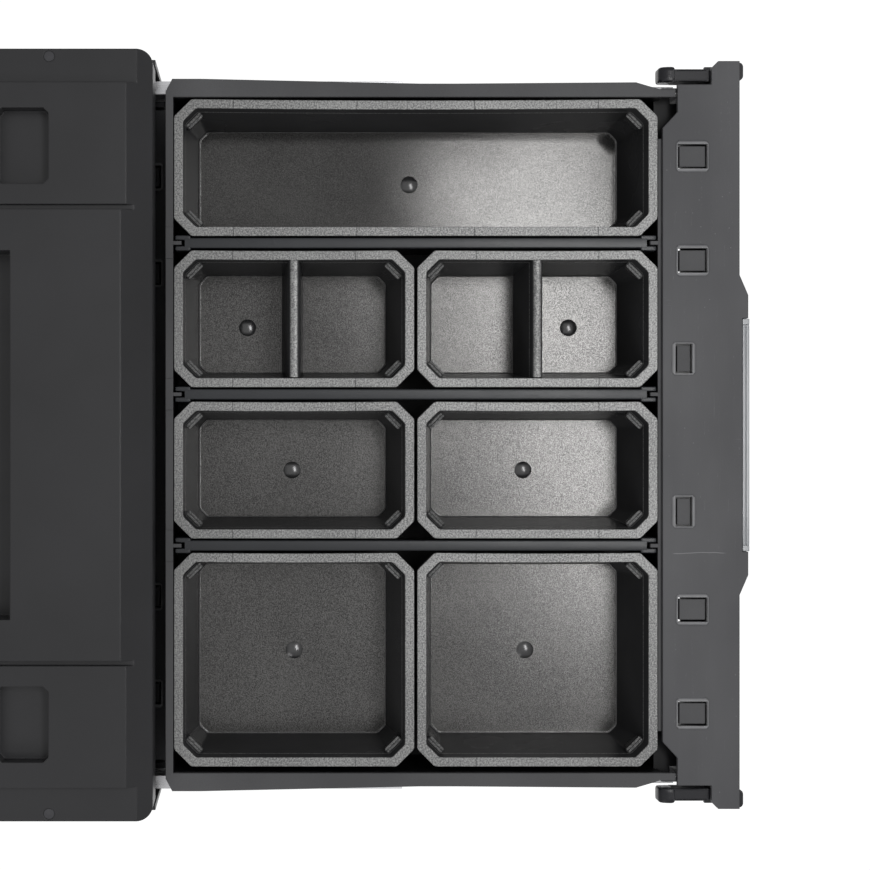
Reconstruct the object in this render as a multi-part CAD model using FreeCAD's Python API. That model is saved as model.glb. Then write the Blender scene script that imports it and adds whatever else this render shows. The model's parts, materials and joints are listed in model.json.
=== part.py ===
import FreeCAD, Part
import math
import os

# Modular two-drawer socket organizer box, in millimetres.
# Z is up, the drawers open toward -Y and X runs across the box.
# The origin is the middle of the casing's footprint on the floor.
# The upper drawer is built open and the lower one closed.
# A "reach" is a distance behind the casing's front plane, so in front it is negative.
# A "drop" is a distance below the rim of a drawer.

# ---- casing
CASE_WIDTH = 450.0
CASE_DEPTH = 340.0
BASE_HEIGHT = 22.0
BEAM_HEIGHT = 37.0
CASE_WALL = 3.5
SHELL_WALL = 4.0
DRAWER_GAP = 3.0
BASE_GAP = 2.0
CORNER_RADIUS = 8.0
FRONT_SLOPE_DEPTH = 18.0
FRONT_SLOPE_DROP = 12.0
PANEL_HALF_WIDTH = 131.0
PANEL_RISE = 2.0
SEAM_WIDTH = 3.0
SEAM_DEPTH = 3.0
SIDE_STEP_INSET = 20.0
SIDE_STEP_DROP = 6.0
CROSSBAR_HEIGHT = 12.0
CROSSBAR_DEPTH = 20.0
RIB_THICKNESS = 2.5
RIB_HEIGHT = 3.0
RIB_COUNT = 5
FIELD_DEPTH = 1.2
FIELD_BAND = 12.0
FIELD_CUT = 9.0
FIELD_FRONT_INSET = 46.0
FIELD_BACK_INSET = 22.0
SIDE_FIELD_COLUMNS = 3
BACK_FIELD_COLUMNS = 4

# ---- drawers
UPPER_COVER_HEIGHT = 82.0
LOWER_COVER_HEIGHT = 101.0
OPEN_GAP = 5.9
UPPER_TUB_DEPTH = 65.0
LOWER_TUB_DEPTH = 86.0
TUB_WALL = 3.3
TUB_END_WALL = 2.4
TUB_FLOOR = 2.5
TUB_FRONT_REACH = 28.2
FLANGE_THICKNESS = 3.0
FLANGE_DROP = 1.0
CORNER_WEB_GAP = 1.2
CORNER_NOTCH_INSET = 6.0
CORNER_NOTCH_DROP = 16.0
FLANGE_TONGUE_WIDTH = 2.4
FLANGE_TONGUE_OVERLAP = 2.0
BACK_FLANGE_DEPTH = 4.5
BACK_CLEARANCE = 8.4

# ---- bins and dividers
SMALL_BIN_WIDTH = 82.7
COLUMN_GAP = 1.8
BIN_END_CLEARANCE = 0.4
BIN_SIDE_CLEARANCE = 1.0
BIN_LAST_CLEARANCE = 3.8
BIN_BAR_GAP = 1.1
BAR_WIDTH = 6.3
BIN_RIM_DROP = 2.0
BIN_RIM_WIDTH = 5.5
BIN_RIM_THICKNESS = 2.0
BIN_SKIRT_HEIGHT = 7.0
BIN_SKIRT_THICKNESS = 1.6
BIN_CORNER_CUT = 10.5
BIN_INNER_CUT = 7.8
BIN_WALL = 1.8
BIN_SIDE_DRAFT = 5.1
BIN_END_DRAFT = 7.9
GATE_RADIUS = 5.0
GATE_RISE = 1.2
LEDGE_WIDTH = 8.0
LEDGE_DROP = 10.0
LEDGE_THICKNESS = 2.0
GUSSET_WIDTH = 3.5
GUSSET_HEIGHT = 9.0
SPLIT_TOP = 6.3
SPLIT_FOOT = 13.0
BAR_TOP_HEIGHT = 6.0
BAR_PLATE_THICKNESS = 2.0
BAR_END_CLEARANCE = 1.2
BAR_REACH_INSET = 8.5
FORK_WIDTH = 9.2
FORK_SLOT = 3.6
WALL_RIB_WIDTH = 2.2
WALL_RIB_LENGTH = 5.0
LIFT_FLOOR_GAP = 0.2

# ---- front covers
COVER_WALL = 3.0
COVER_FRONT = 17.8
COVER_REAR_REACH = 28.4
COVER_SHOULDER_REACH = 19.5
COVER_REAR_INSET = 40.3
COVER_SHOULDER_INSET = 30.7
COVER_END_INSET = 14.1
COVER_CHEEK_GAP = 0.6
COVER_CORNER_CUT = 4.0
END_BLOCK_GAP = 1.0
PULL_HALF_WIDTH = 96.3
PULL_TOP_HALF_WIDTH = 84.2
PULL_RISE = 5.2
PULL_HEIGHT = 38.0
SCOOP_HALF_WIDTH = 76.0
SCOOP_DEPTH = 18.0
SCOOP_DROP = 68.0
SCOOP_LIP_HEIGHT = 10.0
SCOOP_WALL = 2.5
LIP_THICKNESS = 5.5
OUTER_TAB_INSET = 17.1
TAB_SPACING = 62.6
WIDE_TAB_WIDTH = 14.7
WIDE_TAB_LENGTH = 17.8
WIDE_TAB_REACH = 1.7
NARROW_TAB_CENTRE = 46.0
NARROW_TAB_WIDTH = 17.9
NARROW_TAB_LENGTH = 10.1
NARROW_TAB_REACH = 10.8
WINDOW_GAP = 1.2
TAB_ARM_THICKNESS = 2.5
TAB_ARM_GAP = 0.5
TAB_TOP_DROP = 0.6
BORDER_WIDTH = 2.5
BORDER_NARROW = 1.1
BORDER_EDGE = 0.3
BORDER_CORNER = 2.0
BORDER_RISE = 0.8
BORDER_SINK = 1.0
LABEL_HALF_WIDTH = 70.0
LABEL_HEIGHT = 34.0
LABEL_DEPTH = 4.1
LABEL_PROUD = 0.9
LABEL_SHEET = 1.3
LABEL_CLEARANCE = 0.3
CARD_THICKNESS = 0.4
CARD_CLEARANCE = 1.0
RIB_OFFSETS = (-37.6, 18.4)

# ---- latches
LATCH_HEIGHT = 12.0
LATCH_DROP = 4.0
LATCH_PIN_INSET = 8.6
LATCH_PIN_FRONT = 9.0
LATCH_PIN_RADIUS = 1.5
LATCH_PIN_PLAY = 0.35
LATCH_EYE_RADIUS = 3.6
LATCH_EYE_HEIGHT = 6.5
LATCH_ARM_INNER_INSET = 11.4
LATCH_ARM_OUTER_INSET = 4.0
LATCH_BARB_INSET = 2.4
LATCH_BARB_REACH = 20.1
LATCH_END_REACH = 29.6
LATCH_NECK_HALF = 2.3
LATCH_TAB_INSET = 10.0
LATCH_TAB_FRONT = 21.0
LATCH_TAB_THICKNESS = 2.4
LATCH_LIP_INSET = 3.4
LATCH_POCKET_INSET = 1.4
LATCH_CATCH_REACH = 19.2
LATCH_POCKET_END = 37.0
LATCH_ROOM = 1.5
SPRING_RADIUS = 2.8
SPRING_SHEET = 0.5
SPRING_HEIGHT = 4.5
SPRING_LEG = 6.0
SPRING_ROOM = 0.6

# ---- slides
SLIDE_INSET = 7.0
SLIDE_THICKNESS = 11.0
SLIDE_DROP = 28.6
SLIDE_HALF_HEIGHT = 17.0
SLIDE_SHEET = 1.2
SLIDE_FRONT_REACH = 32.0
RAIL_FRONT_REACH = 17.3
SLIDE_BACK_INSET = 14.0
MIDDLE_SETBACK = 2.0
MIDDLE_HALF_HEIGHT = 12.2
INNER_HALF_HEIGHT = 7.0
STRIP_LENGTH = 124.0
STRIP_PLAY = 0.4
SLIDE_SCREW_FRONT = 20.0
SLIDE_SCREW_BACK = 36.0
SCREW_HEAD_RADIUS = 3.2
SCREW_HEAD_HEIGHT = 0.6
SCREW_RADIUS = 1.8
SCREW_LENGTH = 3.6
RIVET_LENGTH = 2.4
HOLE_PLAY = 0.1

# ---- carry handle
HANDLE_HALF_WIDTH = 105.0
HANDLE_ARM_WIDTH = 16.0
HANDLE_THICKNESS = 15.0
HANDLE_PIVOT_Y = 22.0
HANDLE_PIVOT_DROP = 12.0
HANDLE_REACH = 66.0
GRIP_WIDTH = 20.0
GRIP_SLEEVE_HALF_LENGTH = 62.0
GRIP_SLEEVE_THICKNESS = 1.5
RECESS_CLEARANCE = 2.0
RECESS_FRONT_Y = -88.0
RECESS_BACK_Y = 40.0
RECESS_DEPTH = 25.0
RECESS_WALL = 10.0
HANDLE_PIN_RADIUS = 4.0
HANDLE_PIN_PLAY = 0.4

# ---- stacking sockets, feet and casing screws
SOCKET_INSET = 57.0
SOCKET_FRONT_INSET = 75.0
SOCKET_BACK_INSET = 60.0
SOCKET_WIDTH = 44.0
SOCKET_LENGTH = 30.0
SOCKET_DEPTH = 12.0
SOCKET_WALL = 3.0
FOOT_INSET = 26.0
FOOT_RADIUS = 12.0
FOOT_HEIGHT = 4.0
FOOT_BOSS = 32.0
CASE_SCREW_INSET = 4.4
CASE_SCREW_FRONT = 60.0
CASE_SCREW_BACK = 35.0
CASE_SCREW_RADIUS = 1.6
CASE_SCREW_LENGTH = 16.0
CASE_SCREW_HEAD_RADIUS = 3.0
CASE_SCREW_HEAD_HEIGHT = 2.5

# ---- levels and lines worked out from the sizes above
CASE_HALF = CASE_WIDTH / 2
FRONT_Y = -CASE_DEPTH / 2
BACK_Y = CASE_DEPTH / 2
LOWER_RIM = BASE_HEIGHT + BASE_GAP + LOWER_COVER_HEIGHT
UPPER_RIM = LOWER_RIM + DRAWER_GAP + UPPER_COVER_HEIGHT
BEAM_Z = UPPER_RIM + DRAWER_GAP
CASE_HEIGHT = BEAM_Z + BEAM_HEIGHT
WALL_INNER = CASE_HALF - CASE_WALL
BACK_PANEL_HALF_WIDTH = CASE_HALF - CORNER_RADIUS
SIDE_STEP_HALF_WIDTH = CASE_HALF - SIDE_STEP_INSET
CASE_SCREW_X = CASE_HALF - CASE_SCREW_INSET
CASE_SCREW_YS = (FRONT_Y + CASE_SCREW_FRONT, BACK_Y - CASE_SCREW_BACK)
SOCKET_X = CASE_HALF - SOCKET_INSET
SOCKET_YS = (FRONT_Y + SOCKET_FRONT_INSET, BACK_Y - SOCKET_BACK_INSET)
SLIDE_OUTER = CASE_HALF - SLIDE_INSET
SLIDE_INNER = SLIDE_OUTER - SLIDE_THICKNESS
SLIDE_BACK_REACH = CASE_DEPTH - SLIDE_BACK_INSET
SLIDE_FIRST_SCREW = SLIDE_FRONT_REACH + SLIDE_SCREW_FRONT
SLIDE_LAST_SCREW = SLIDE_BACK_REACH - SLIDE_SCREW_BACK
SLIDE_MIDDLE_SCREW = (SLIDE_FRONT_REACH + SLIDE_BACK_REACH) / 2
SLIDE_SCREW_REACHES = (SLIDE_FIRST_SCREW, SLIDE_MIDDLE_SCREW, SLIDE_LAST_SCREW)
TUB_HALF_WIDTH = SLIDE_INNER
TUB_INNER_HALF_WIDTH = TUB_HALF_WIDTH - TUB_WALL
TUB_BACK = CASE_DEPTH - SHELL_WALL - BACK_CLEARANCE
TRAVEL = TUB_BACK + OPEN_GAP
TUB_INNER_FRONT = TUB_FRONT_REACH + TUB_END_WALL
TUB_INNER_BACK = TUB_BACK - BACK_FLANGE_DEPTH
BIN_FRONT = TUB_INNER_FRONT + BIN_END_CLEARANCE
ROW_LENGTH = TUB_INNER_BACK - TUB_INNER_FRONT - 2 * BIN_END_CLEARANCE
BIN_LENGTH = (ROW_LENGTH - COLUMN_GAP) / 2
BARS_WIDTH = 3 * (BAR_WIDTH + 2 * BIN_BAR_GAP)
BINS_WIDTH = 2 * TUB_INNER_HALF_WIDTH - BIN_SIDE_CLEARANCE - BIN_LAST_CLEARANCE - BARS_WIDTH
LARGE_BIN_WIDTH = BINS_WIDTH - 3 * SMALL_BIN_WIDTH
COVER_HALF_WIDTH = CASE_HALF
COVER_REAR_HALF_WIDTH = CASE_HALF - COVER_REAR_INSET
COVER_SHOULDER_HALF_WIDTH = CASE_HALF - COVER_SHOULDER_INSET
COVER_END_HALF_WIDTH = CASE_HALF - COVER_END_INSET
COVER_CHEEK_HALF_WIDTH = SLIDE_INNER - COVER_CHEEK_GAP
OUTER_TAB_CENTRE = COVER_REAR_HALF_WIDTH - OUTER_TAB_INSET
WIDE_TAB_CENTRES = (OUTER_TAB_CENTRE, OUTER_TAB_CENTRE - TAB_SPACING)
RIB_CENTRES = tuple(OUTER_TAB_CENTRE + offset for offset in RIB_OFFSETS)
LATCH_PIN_HALF_WIDTH = CASE_HALF - LATCH_PIN_INSET
LATCH_ARM_INNER = CASE_HALF - LATCH_ARM_INNER_INSET
LATCH_ARM_OUTER = CASE_HALF - LATCH_ARM_OUTER_INSET
LATCH_BARB = CASE_HALF - LATCH_BARB_INSET
LATCH_TAB_INNER = CASE_HALF - LATCH_TAB_INSET
LATCH_LIP_INNER = CASE_HALF - LATCH_LIP_INSET
LATCH_POCKET_OUTER = CASE_HALF - LATCH_POCKET_INSET
OPEN_SHIFT = FreeCAD.Vector(0, -TRAVEL, 0)
HALF_SHIFT = FreeCAD.Vector(0, -TRAVEL / 2, 0)
NO_SHIFT = FreeCAD.Vector(0, 0, 0)


# ---- helpers
def box(x_span, y_span, z_span):
    """A block between three pairs of limits."""
    low = FreeCAD.Vector(min(x_span), min(y_span), min(z_span))
    x_size = max(x_span) - min(x_span)
    y_size = max(y_span) - min(y_span)
    z_size = max(z_span) - min(z_span)
    return Part.makeBox(x_size, y_size, z_size, low)


def place(axis, first, second, along):
    """A point from its two coordinates across an axis and one along it."""
    if axis == "x":
        return FreeCAD.Vector(along, first, second)
    if axis == "y":
        return FreeCAD.Vector(first, along, second)
    return FreeCAD.Vector(first, second, along)


def prism(axis, points, low, high):
    """A polygon carried straight along one axis."""
    corners = [place(axis, a, b, low) for a, b in points]
    wire = Part.makePolygon(corners + [corners[0]])
    return Part.Face(wire).extrude(place(axis, 0, 0, high - low))


def rod(axis, first, second, low, high, radius):
    """A round bar along one axis."""
    start = place(axis, first, second, low)
    return Part.makeCylinder(radius, high - low, start, place(axis, 0, 0, 1))


def mirrored(shape):
    """The same shape on the other side of the box."""
    return shape.mirror(FreeCAD.Vector(0, 0, 0), FreeCAD.Vector(1, 0, 0))


def both_sides(shape):
    """A shape and its mirror image."""
    return [shape, mirrored(shape)]


def rounded_block(x_span, y_span, z_span, radius):
    """A block whose four upright edges are rounded."""
    block = box(x_span, y_span, z_span)
    upright = []
    for edge in block.Edges:
        ends = [vertex.Point for vertex in edge.Vertexes]
        if abs(ends[0].z - ends[1].z) > (max(z_span) - min(z_span)) / 2:
            upright.append(edge)
    return block.makeFillet(radius, upright)


def octagon(x_mid, y_mid, half_x, half_y, cut):
    """A rectangle with its corners cut off, as eight points."""
    corners = []
    for sign_x, sign_y in ((1, 1), (-1, 1), (-1, -1), (1, -1)):
        long_x = (x_mid + sign_x * (half_x - cut), y_mid + sign_y * half_y)
        long_y = (x_mid + sign_x * half_x, y_mid + sign_y * (half_y - cut))
        corners += [long_y, long_x] if sign_x * sign_y > 0 else [long_x, long_y]
    return corners


def tapered(lower, low, upper, high):
    """A solid with straight walls between two polygons of as many points."""
    wires = []
    for points, level in ((lower, low), (upper, high)):
        corners = [FreeCAD.Vector(x, y, level) for x, y in points]
        wires.append(Part.makePolygon(corners + [corners[0]]))
    return Part.makeLoft(wires, True, True)


def joined(shapes):
    """One solid out of several that meet."""
    return shapes[0].multiFuse(shapes[1:]).removeSplitter()


def cut_from(shape, tools):
    """A shape with every tool taken away."""
    return shape.cut(Part.makeCompound(tools)).removeSplitter()


def save(name, shapes, shift=NO_SHIFT):
    """Write the closed solids of one node, moved to where they rest."""
    solids = []
    for shape in shapes:
        solids += shape.Solids
    moved = []
    for solid in solids:
        copy = solid.copy()
        copy.translate(shift)
        moved.append(copy)
    result = moved[0] if len(moved) == 1 else Part.makeCompound(moved)
    state = "ok" if result.isValid() and len(moved) == len(shapes) else "LOOK HERE"
    print(name, len(moved), "solids", round(result.Volume / 1000, 1), "cm3", state)
    result.exportStep("parts/" + name + ".step")


def reach(distance):
    """The Y of a reach behind the casing's front plane."""
    return FRONT_Y + distance


os.makedirs("parts", exist_ok=True)


# ---- casing: base tray and feet
def base_tray():
    """A tray turned upside down, with a solid boss in each corner for a foot."""
    span = (-CASE_HALF, CASE_HALF)
    tray = rounded_block(span, (FRONT_Y, BACK_Y), (0, BASE_HEIGHT), CORNER_RADIUS)
    inner = CASE_HALF - SHELL_WALL
    depth = (FRONT_Y + SHELL_WALL, BACK_Y - SHELL_WALL)
    hollow = box((-inner, inner), depth, (0, BASE_HEIGHT - SHELL_WALL))
    keep = []
    pockets = []
    for x, y in foot_centres():
        half = FOOT_INSET
        keep.append(box((x - half, x + half), (y - half, y + half), (0, BASE_HEIGHT)))
        pockets.append(rod("z", x, y, 0, FOOT_HEIGHT, FOOT_RADIUS + HOLE_PLAY))
    for x in case_screw_xs():
        for y in CASE_SCREW_YS:
            half = FOOT_BOSS / 4
            keep.append(box((x - half, x + half), (y - half, y + half), (0, BASE_HEIGHT)))
    for number in range(1, RIB_COUNT + 1):
        x = -inner + 2 * inner * number / (RIB_COUNT + 1)
        rib = (x - RIB_THICKNESS / 2, x + RIB_THICKNESS / 2)
        keep.append(box(rib, depth, (BASE_HEIGHT / 2, BASE_HEIGHT)))
    hollow = hollow.cut(Part.makeCompound(keep))
    return cut_from(tray, [hollow] + pockets + screw_holes(0, 1))


def foot_centres():
    """The middles of the four feet."""
    x = CASE_HALF - FOOT_INSET
    y = BACK_Y - FOOT_INSET
    return [(x, y), (-x, y), (x, -y), (-x, -y)]


def case_screw_xs():
    """The two lines of casing screws."""
    return (CASE_SCREW_X, -CASE_SCREW_X)


def screw_holes(level, direction):
    """Counterbored holes for the casing screws, driven up or down from a level."""
    holes = []
    for solid in case_screws(level, direction, HOLE_PLAY):
        holes.append(solid)
    return holes


def case_screws(level, direction, play=0.0):
    """Casing screws whose heads start at a level and whose shanks run one way."""
    screws = []
    head_end = level + direction * CASE_SCREW_HEAD_HEIGHT
    tip = head_end + direction * (CASE_SCREW_LENGTH + play + abs(case_seat(direction)))
    for x in case_screw_xs():
        for y in CASE_SCREW_YS:
            head_radius = CASE_SCREW_HEAD_RADIUS + play
            radius = CASE_SCREW_RADIUS + play
            head = rod("z", x, y, min(level, head_end), max(level, head_end), head_radius)
            shank = rod("z", x, y, min(head_end, tip), max(head_end, tip), radius)
            screws.append(joined([head, shank]))
    return screws


def case_seat(direction):
    """How much further a screw has to reach from below or from above."""
    return BASE_HEIGHT - CASE_SCREW_HEAD_HEIGHT if direction > 0 else BEAM_HEIGHT / 2


def foot_pads():
    """Four round rubber feet, flush with the rim of the base."""
    return [rod("z", x, y, 0, FOOT_HEIGHT, FOOT_RADIUS) for x, y in foot_centres()]


# ---- casing: side panels, back panel and crossbar
def wall_fields(axis, face, start, end, columns):
    """The shallow eight-sided recesses in the outer face of a wall, one row beside each drawer."""
    lower_row = (BASE_HEIGHT + FIELD_BAND, LOWER_RIM - FIELD_BAND / 2)
    upper_row = (LOWER_RIM + FIELD_BAND / 2, BEAM_Z - FIELD_BAND)
    pitch = (end - start + FIELD_BAND) / columns
    half_width = (pitch - FIELD_BAND) / 2
    fields = []
    for low, high in (lower_row, upper_row):
        for number in range(columns):
            middle = start + number * pitch + half_width
            outline = octagon(middle, (low + high) / 2, half_width, (high - low) / 2, FIELD_CUT)
            fields.append(prism(axis, outline, face - FIELD_DEPTH, face + FIELD_DEPTH))
    return fields


def side_panel():
    """The right side wall with its ribs, slide pads and latch pockets."""
    low = BASE_HEIGHT
    high = BEAM_Z
    outline = [
        (WALL_INNER, FRONT_Y),
        (CASE_HALF, FRONT_Y),
        (CASE_HALF, BACK_Y - CORNER_RADIUS),
        (BACK_PANEL_HALF_WIDTH, BACK_Y),
        (BACK_PANEL_HALF_WIDTH, BACK_Y - SHELL_WALL),
        (WALL_INNER, BACK_Y - CORNER_RADIUS),
    ]
    wall = prism("z", outline, low, high)
    span = (SLIDE_OUTER, WALL_INNER)
    depth = (FRONT_Y, BACK_Y - CORNER_RADIUS)
    pieces = [wall]
    pieces.append(box(span, depth, (low, low + CASE_SCREW_LENGTH + SHELL_WALL)))
    for rim in (LOWER_RIM, UPPER_RIM):
        middle = rim - SLIDE_DROP
        pad = (middle - SLIDE_HALF_HEIGHT, middle + SLIDE_HALF_HEIGHT)
        pieces.append(box(span, (reach(SLIDE_FRONT_REACH), depth[1]), pad))
        lip = (FRONT_Y, reach(LATCH_CATCH_REACH))
        room = (rim - LATCH_DROP - LATCH_HEIGHT - LATCH_ROOM, rim)
        pieces.append(box((LATCH_LIP_INNER, WALL_INNER), lip, room))
    back_rib = (reach(TUB_BACK), BACK_Y - CORNER_RADIUS)
    pieces.append(box(span, back_rib, (low, high)))
    seat = (LOWER_RIM, LOWER_RIM + DRAWER_GAP + CROSSBAR_HEIGHT)
    pieces.append(box(span, depth, seat))
    for y in CASE_SCREW_YS:
        half = CASE_SCREW_LENGTH / 2
        pieces.append(box(span, (y - half, y + half), (UPPER_RIM - SLIDE_DROP, high)))
    panel = joined(pieces)
    cuts = []
    for rim in (LOWER_RIM, UPPER_RIM):
        room = (rim - LATCH_DROP - LATCH_HEIGHT - LATCH_ROOM, rim - 1)
        pocket = (reach(LATCH_CATCH_REACH), reach(LATCH_POCKET_END))
        cuts.append(box((SLIDE_OUTER, LATCH_POCKET_OUTER), pocket, room))
        for distance in SLIDE_SCREW_REACHES:
            y = reach(distance)
            tip = SLIDE_OUTER + SCREW_LENGTH + HOLE_PLAY
            radius = SCREW_RADIUS + HOLE_PLAY
            cuts.append(rod("x", y, rim - SLIDE_DROP, SLIDE_OUTER, tip, radius))
    cuts += screw_holes(0, 1)
    cuts += screw_holes(CASE_HEIGHT - SIDE_STEP_DROP, -1)
    field_start = FRONT_Y + FIELD_FRONT_INSET
    field_end = BACK_Y - FIELD_BACK_INSET
    cuts += wall_fields("x", CASE_HALF, field_start, field_end, SIDE_FIELD_COLUMNS)
    return cut_from(panel, cuts)


def back_panel():
    """The rear wall between the side panels, stiffened by upright ribs."""
    half = BACK_PANEL_HALF_WIDTH
    wall = box((-half, half), (BACK_Y - SHELL_WALL, BACK_Y), (BASE_HEIGHT, BEAM_Z))
    pieces = [wall]
    for number in range(1, RIB_COUNT + 1):
        x = -half + 2 * half * number / (RIB_COUNT + 1)
        rib = (x - RIB_THICKNESS / 2, x + RIB_THICKNESS / 2)
        ends = (BACK_Y - SHELL_WALL - RIB_HEIGHT, BACK_Y - SHELL_WALL)
        pieces.append(box(rib, ends, (BASE_HEIGHT, BEAM_Z)))
    side = half - FIELD_BAND
    return cut_from(joined(pieces), wall_fields("y", BACK_Y, -side, side, BACK_FIELD_COLUMNS))


def crossbar():
    """The bar across the front of the casing between the two drawers."""
    low = LOWER_RIM + DRAWER_GAP
    high = low + CROSSBAR_HEIGHT
    front = reach(COVER_REAR_REACH + DRAWER_GAP)
    back = front + CROSSBAR_DEPTH
    bar = box((-SLIDE_OUTER, SLIDE_OUTER), (front, back), (low, high))
    inner = SLIDE_OUTER - SHELL_WALL
    hollow_y = (front + RIB_THICKNESS, back - RIB_THICKNESS)
    hollow = box((-inner, inner), hollow_y, (low + RIB_THICKNESS, high))
    keep = []
    for number in range(1, RIB_COUNT + 1):
        x = -inner + 2 * inner * number / (RIB_COUNT + 1)
        keep.append(box((x - RIB_THICKNESS / 2, x + RIB_THICKNESS / 2), (front, back), (low, high)))
    return cut_from(bar, [hollow.cut(Part.makeCompound(keep))])


# ---- casing: top cover
def top_cover():
    """The top beam and lid, with stacking sockets and the handle's recess."""
    span = (-CASE_HALF, CASE_HALF)
    body = rounded_block(span, (FRONT_Y, BACK_Y), (BEAM_Z, CASE_HEIGHT), CORNER_RADIUS)
    slope_y = FRONT_Y + FRONT_SLOPE_DEPTH
    slope = [(FRONT_Y, CASE_HEIGHT - FRONT_SLOPE_DROP), (FRONT_Y, CASE_HEIGHT), (slope_y, CASE_HEIGHT)]
    cuts = [prism("x", slope, -CASE_HALF, CASE_HALF)]
    shoulder = CASE_HEIGHT - PANEL_RISE
    step = CASE_HEIGHT - SIDE_STEP_DROP
    depth = (FRONT_Y, BACK_Y)
    for side in (1, -1):
        shoulder_x = (side * PANEL_HALF_WIDTH, side * CASE_HALF)
        cuts.append(box(shoulder_x, depth, (shoulder, CASE_HEIGHT)))
        side_x = (side * SIDE_STEP_HALF_WIDTH, side * CASE_HALF)
        cuts.append(box(side_x, depth, (step, CASE_HEIGHT)))
        seam = (side * PANEL_HALF_WIDTH, side * (PANEL_HALF_WIDTH + SEAM_WIDTH))
        seam_z = (shoulder - SEAM_DEPTH, CASE_HEIGHT)
        cuts.append(box(seam, depth, seam_z))
    inner = CASE_HALF - SHELL_WALL
    inner_y = (FRONT_Y + SHELL_WALL, BACK_Y - SHELL_WALL)
    front_ceiling = CASE_HEIGHT - FRONT_SLOPE_DROP - SHELL_WALL
    hollow = box((-inner, inner), inner_y, (BEAM_Z, front_ceiling))
    behind = (slope_y, BACK_Y - SHELL_WALL)
    hollow = hollow.fuse(box((-inner, inner), behind, (BEAM_Z, step - SHELL_WALL)))
    keep = []
    recess_x = HANDLE_HALF_WIDTH + RECESS_CLEARANCE
    boss_x = recess_x + RECESS_WALL
    boss_y = (RECESS_FRONT_Y - SHELL_WALL, RECESS_BACK_Y + SHELL_WALL)
    keep.append(box((-boss_x, boss_x), boss_y, (CASE_HEIGHT - RECESS_DEPTH - SHELL_WALL, CASE_HEIGHT)))
    for x in case_screw_xs():
        for y in CASE_SCREW_YS:
            half = FOOT_BOSS / 4
            keep.append(box((x - half, x + half), (y - half, y + half), (BEAM_Z, CASE_HEIGHT)))
    for number in range(1, RIB_COUNT + 1):
        x = -inner + 2 * inner * number / (RIB_COUNT + 1)
        rib = (x - RIB_THICKNESS / 2, x + RIB_THICKNESS / 2)
        keep.append(box(rib, inner_y, (BEAM_Z + BEAM_HEIGHT / 3, CASE_HEIGHT)))
    for x in (SOCKET_X, -SOCKET_X):
        for y in SOCKET_YS:
            half_x = SOCKET_WIDTH / 2 + SOCKET_WALL
            half_y = SOCKET_LENGTH / 2 + SOCKET_WALL
            low = shoulder - SOCKET_DEPTH - SOCKET_WALL
            boss = (x - half_x, x + half_x)
            keep.append(box(boss, (y - half_y, y + half_y), (low, CASE_HEIGHT)))
    cuts.append(hollow.cut(Part.makeCompound(keep)))
    recess_z = (CASE_HEIGHT - RECESS_DEPTH, CASE_HEIGHT)
    cuts.append(box((-recess_x, recess_x), (RECESS_FRONT_Y, RECESS_BACK_Y), recess_z))
    for x in (SOCKET_X, -SOCKET_X):
        for y in SOCKET_YS:
            half_x = SOCKET_WIDTH / 2
            half_y = SOCKET_LENGTH / 2
            floor = shoulder - SOCKET_DEPTH
            socket = octagon(x, y, half_x, half_y, SOCKET_WALL)
            cuts.append(prism("z", socket, floor, CASE_HEIGHT))
    for pin in handle_pins(HOLE_PLAY):
        cuts.append(pin)
    cuts += screw_holes(CASE_HEIGHT - SIDE_STEP_DROP, -1)
    return cut_from(body, cuts)


# ---- casing: carry handle
def handle_pivot_z():
    """The height of the handle's pivot."""
    return CASE_HEIGHT - HANDLE_PIVOT_DROP


def handle_pins(play=0.0):
    """A pin at each end of the handle, from the arm into the wall of the recess."""
    start = HANDLE_HALF_WIDTH - HANDLE_ARM_WIDTH - play
    end = HANDLE_HALF_WIDTH + RECESS_CLEARANCE + RECESS_WALL - SOCKET_WALL + play
    radius = HANDLE_PIN_RADIUS + play
    return both_sides(rod("x", HANDLE_PIVOT_Y, handle_pivot_z(), start, end, radius))


def carry_handle():
    """A folding bail with two arms and a grip, lying flat in its recess."""
    z = handle_pivot_z()
    half = HANDLE_THICKNESS / 2
    arm_inner = HANDLE_HALF_WIDTH - HANDLE_ARM_WIDTH
    grip_y = HANDLE_PIVOT_Y - HANDLE_REACH
    pieces = []
    arm_y = (grip_y, HANDLE_PIVOT_Y)
    arm = box((arm_inner, HANDLE_HALF_WIDTH), arm_y, (z - half, z + half))
    eye = rod("x", HANDLE_PIVOT_Y, z, arm_inner, HANDLE_HALF_WIDTH, half)
    pieces += both_sides(arm) + both_sides(eye)
    bar_y = (grip_y - GRIP_WIDTH, grip_y)
    bar = rounded_block((-HANDLE_HALF_WIDTH, HANDLE_HALF_WIDTH), bar_y, (z - half, z + half), half / 2)
    handle = joined(pieces + [bar])
    holes = []
    radius = HANDLE_PIN_RADIUS + HANDLE_PIN_PLAY
    hole = rod("x", HANDLE_PIVOT_Y, z, arm_inner - 1, HANDLE_HALF_WIDTH + 1, radius)
    holes += both_sides(hole)
    groove = grip_tube(0)
    return cut_from(handle, holes + [groove])


def grip_tube(shrink):
    """The sleeve around the middle of the grip."""
    z = handle_pivot_z()
    half = HANDLE_THICKNESS / 2
    grip_y = HANDLE_PIVOT_Y - HANDLE_REACH
    length = GRIP_SLEEVE_HALF_LENGTH - shrink
    bar_y = (grip_y - GRIP_WIDTH, grip_y)
    outer = box((-length, length), bar_y, (z - half, z + half))
    inset = GRIP_SLEEVE_THICKNESS
    core_y = (bar_y[0] + inset, bar_y[1] - inset)
    core = box((-length, length), core_y, (z - half + inset, z + half - inset))
    return outer.cut(core)


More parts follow.
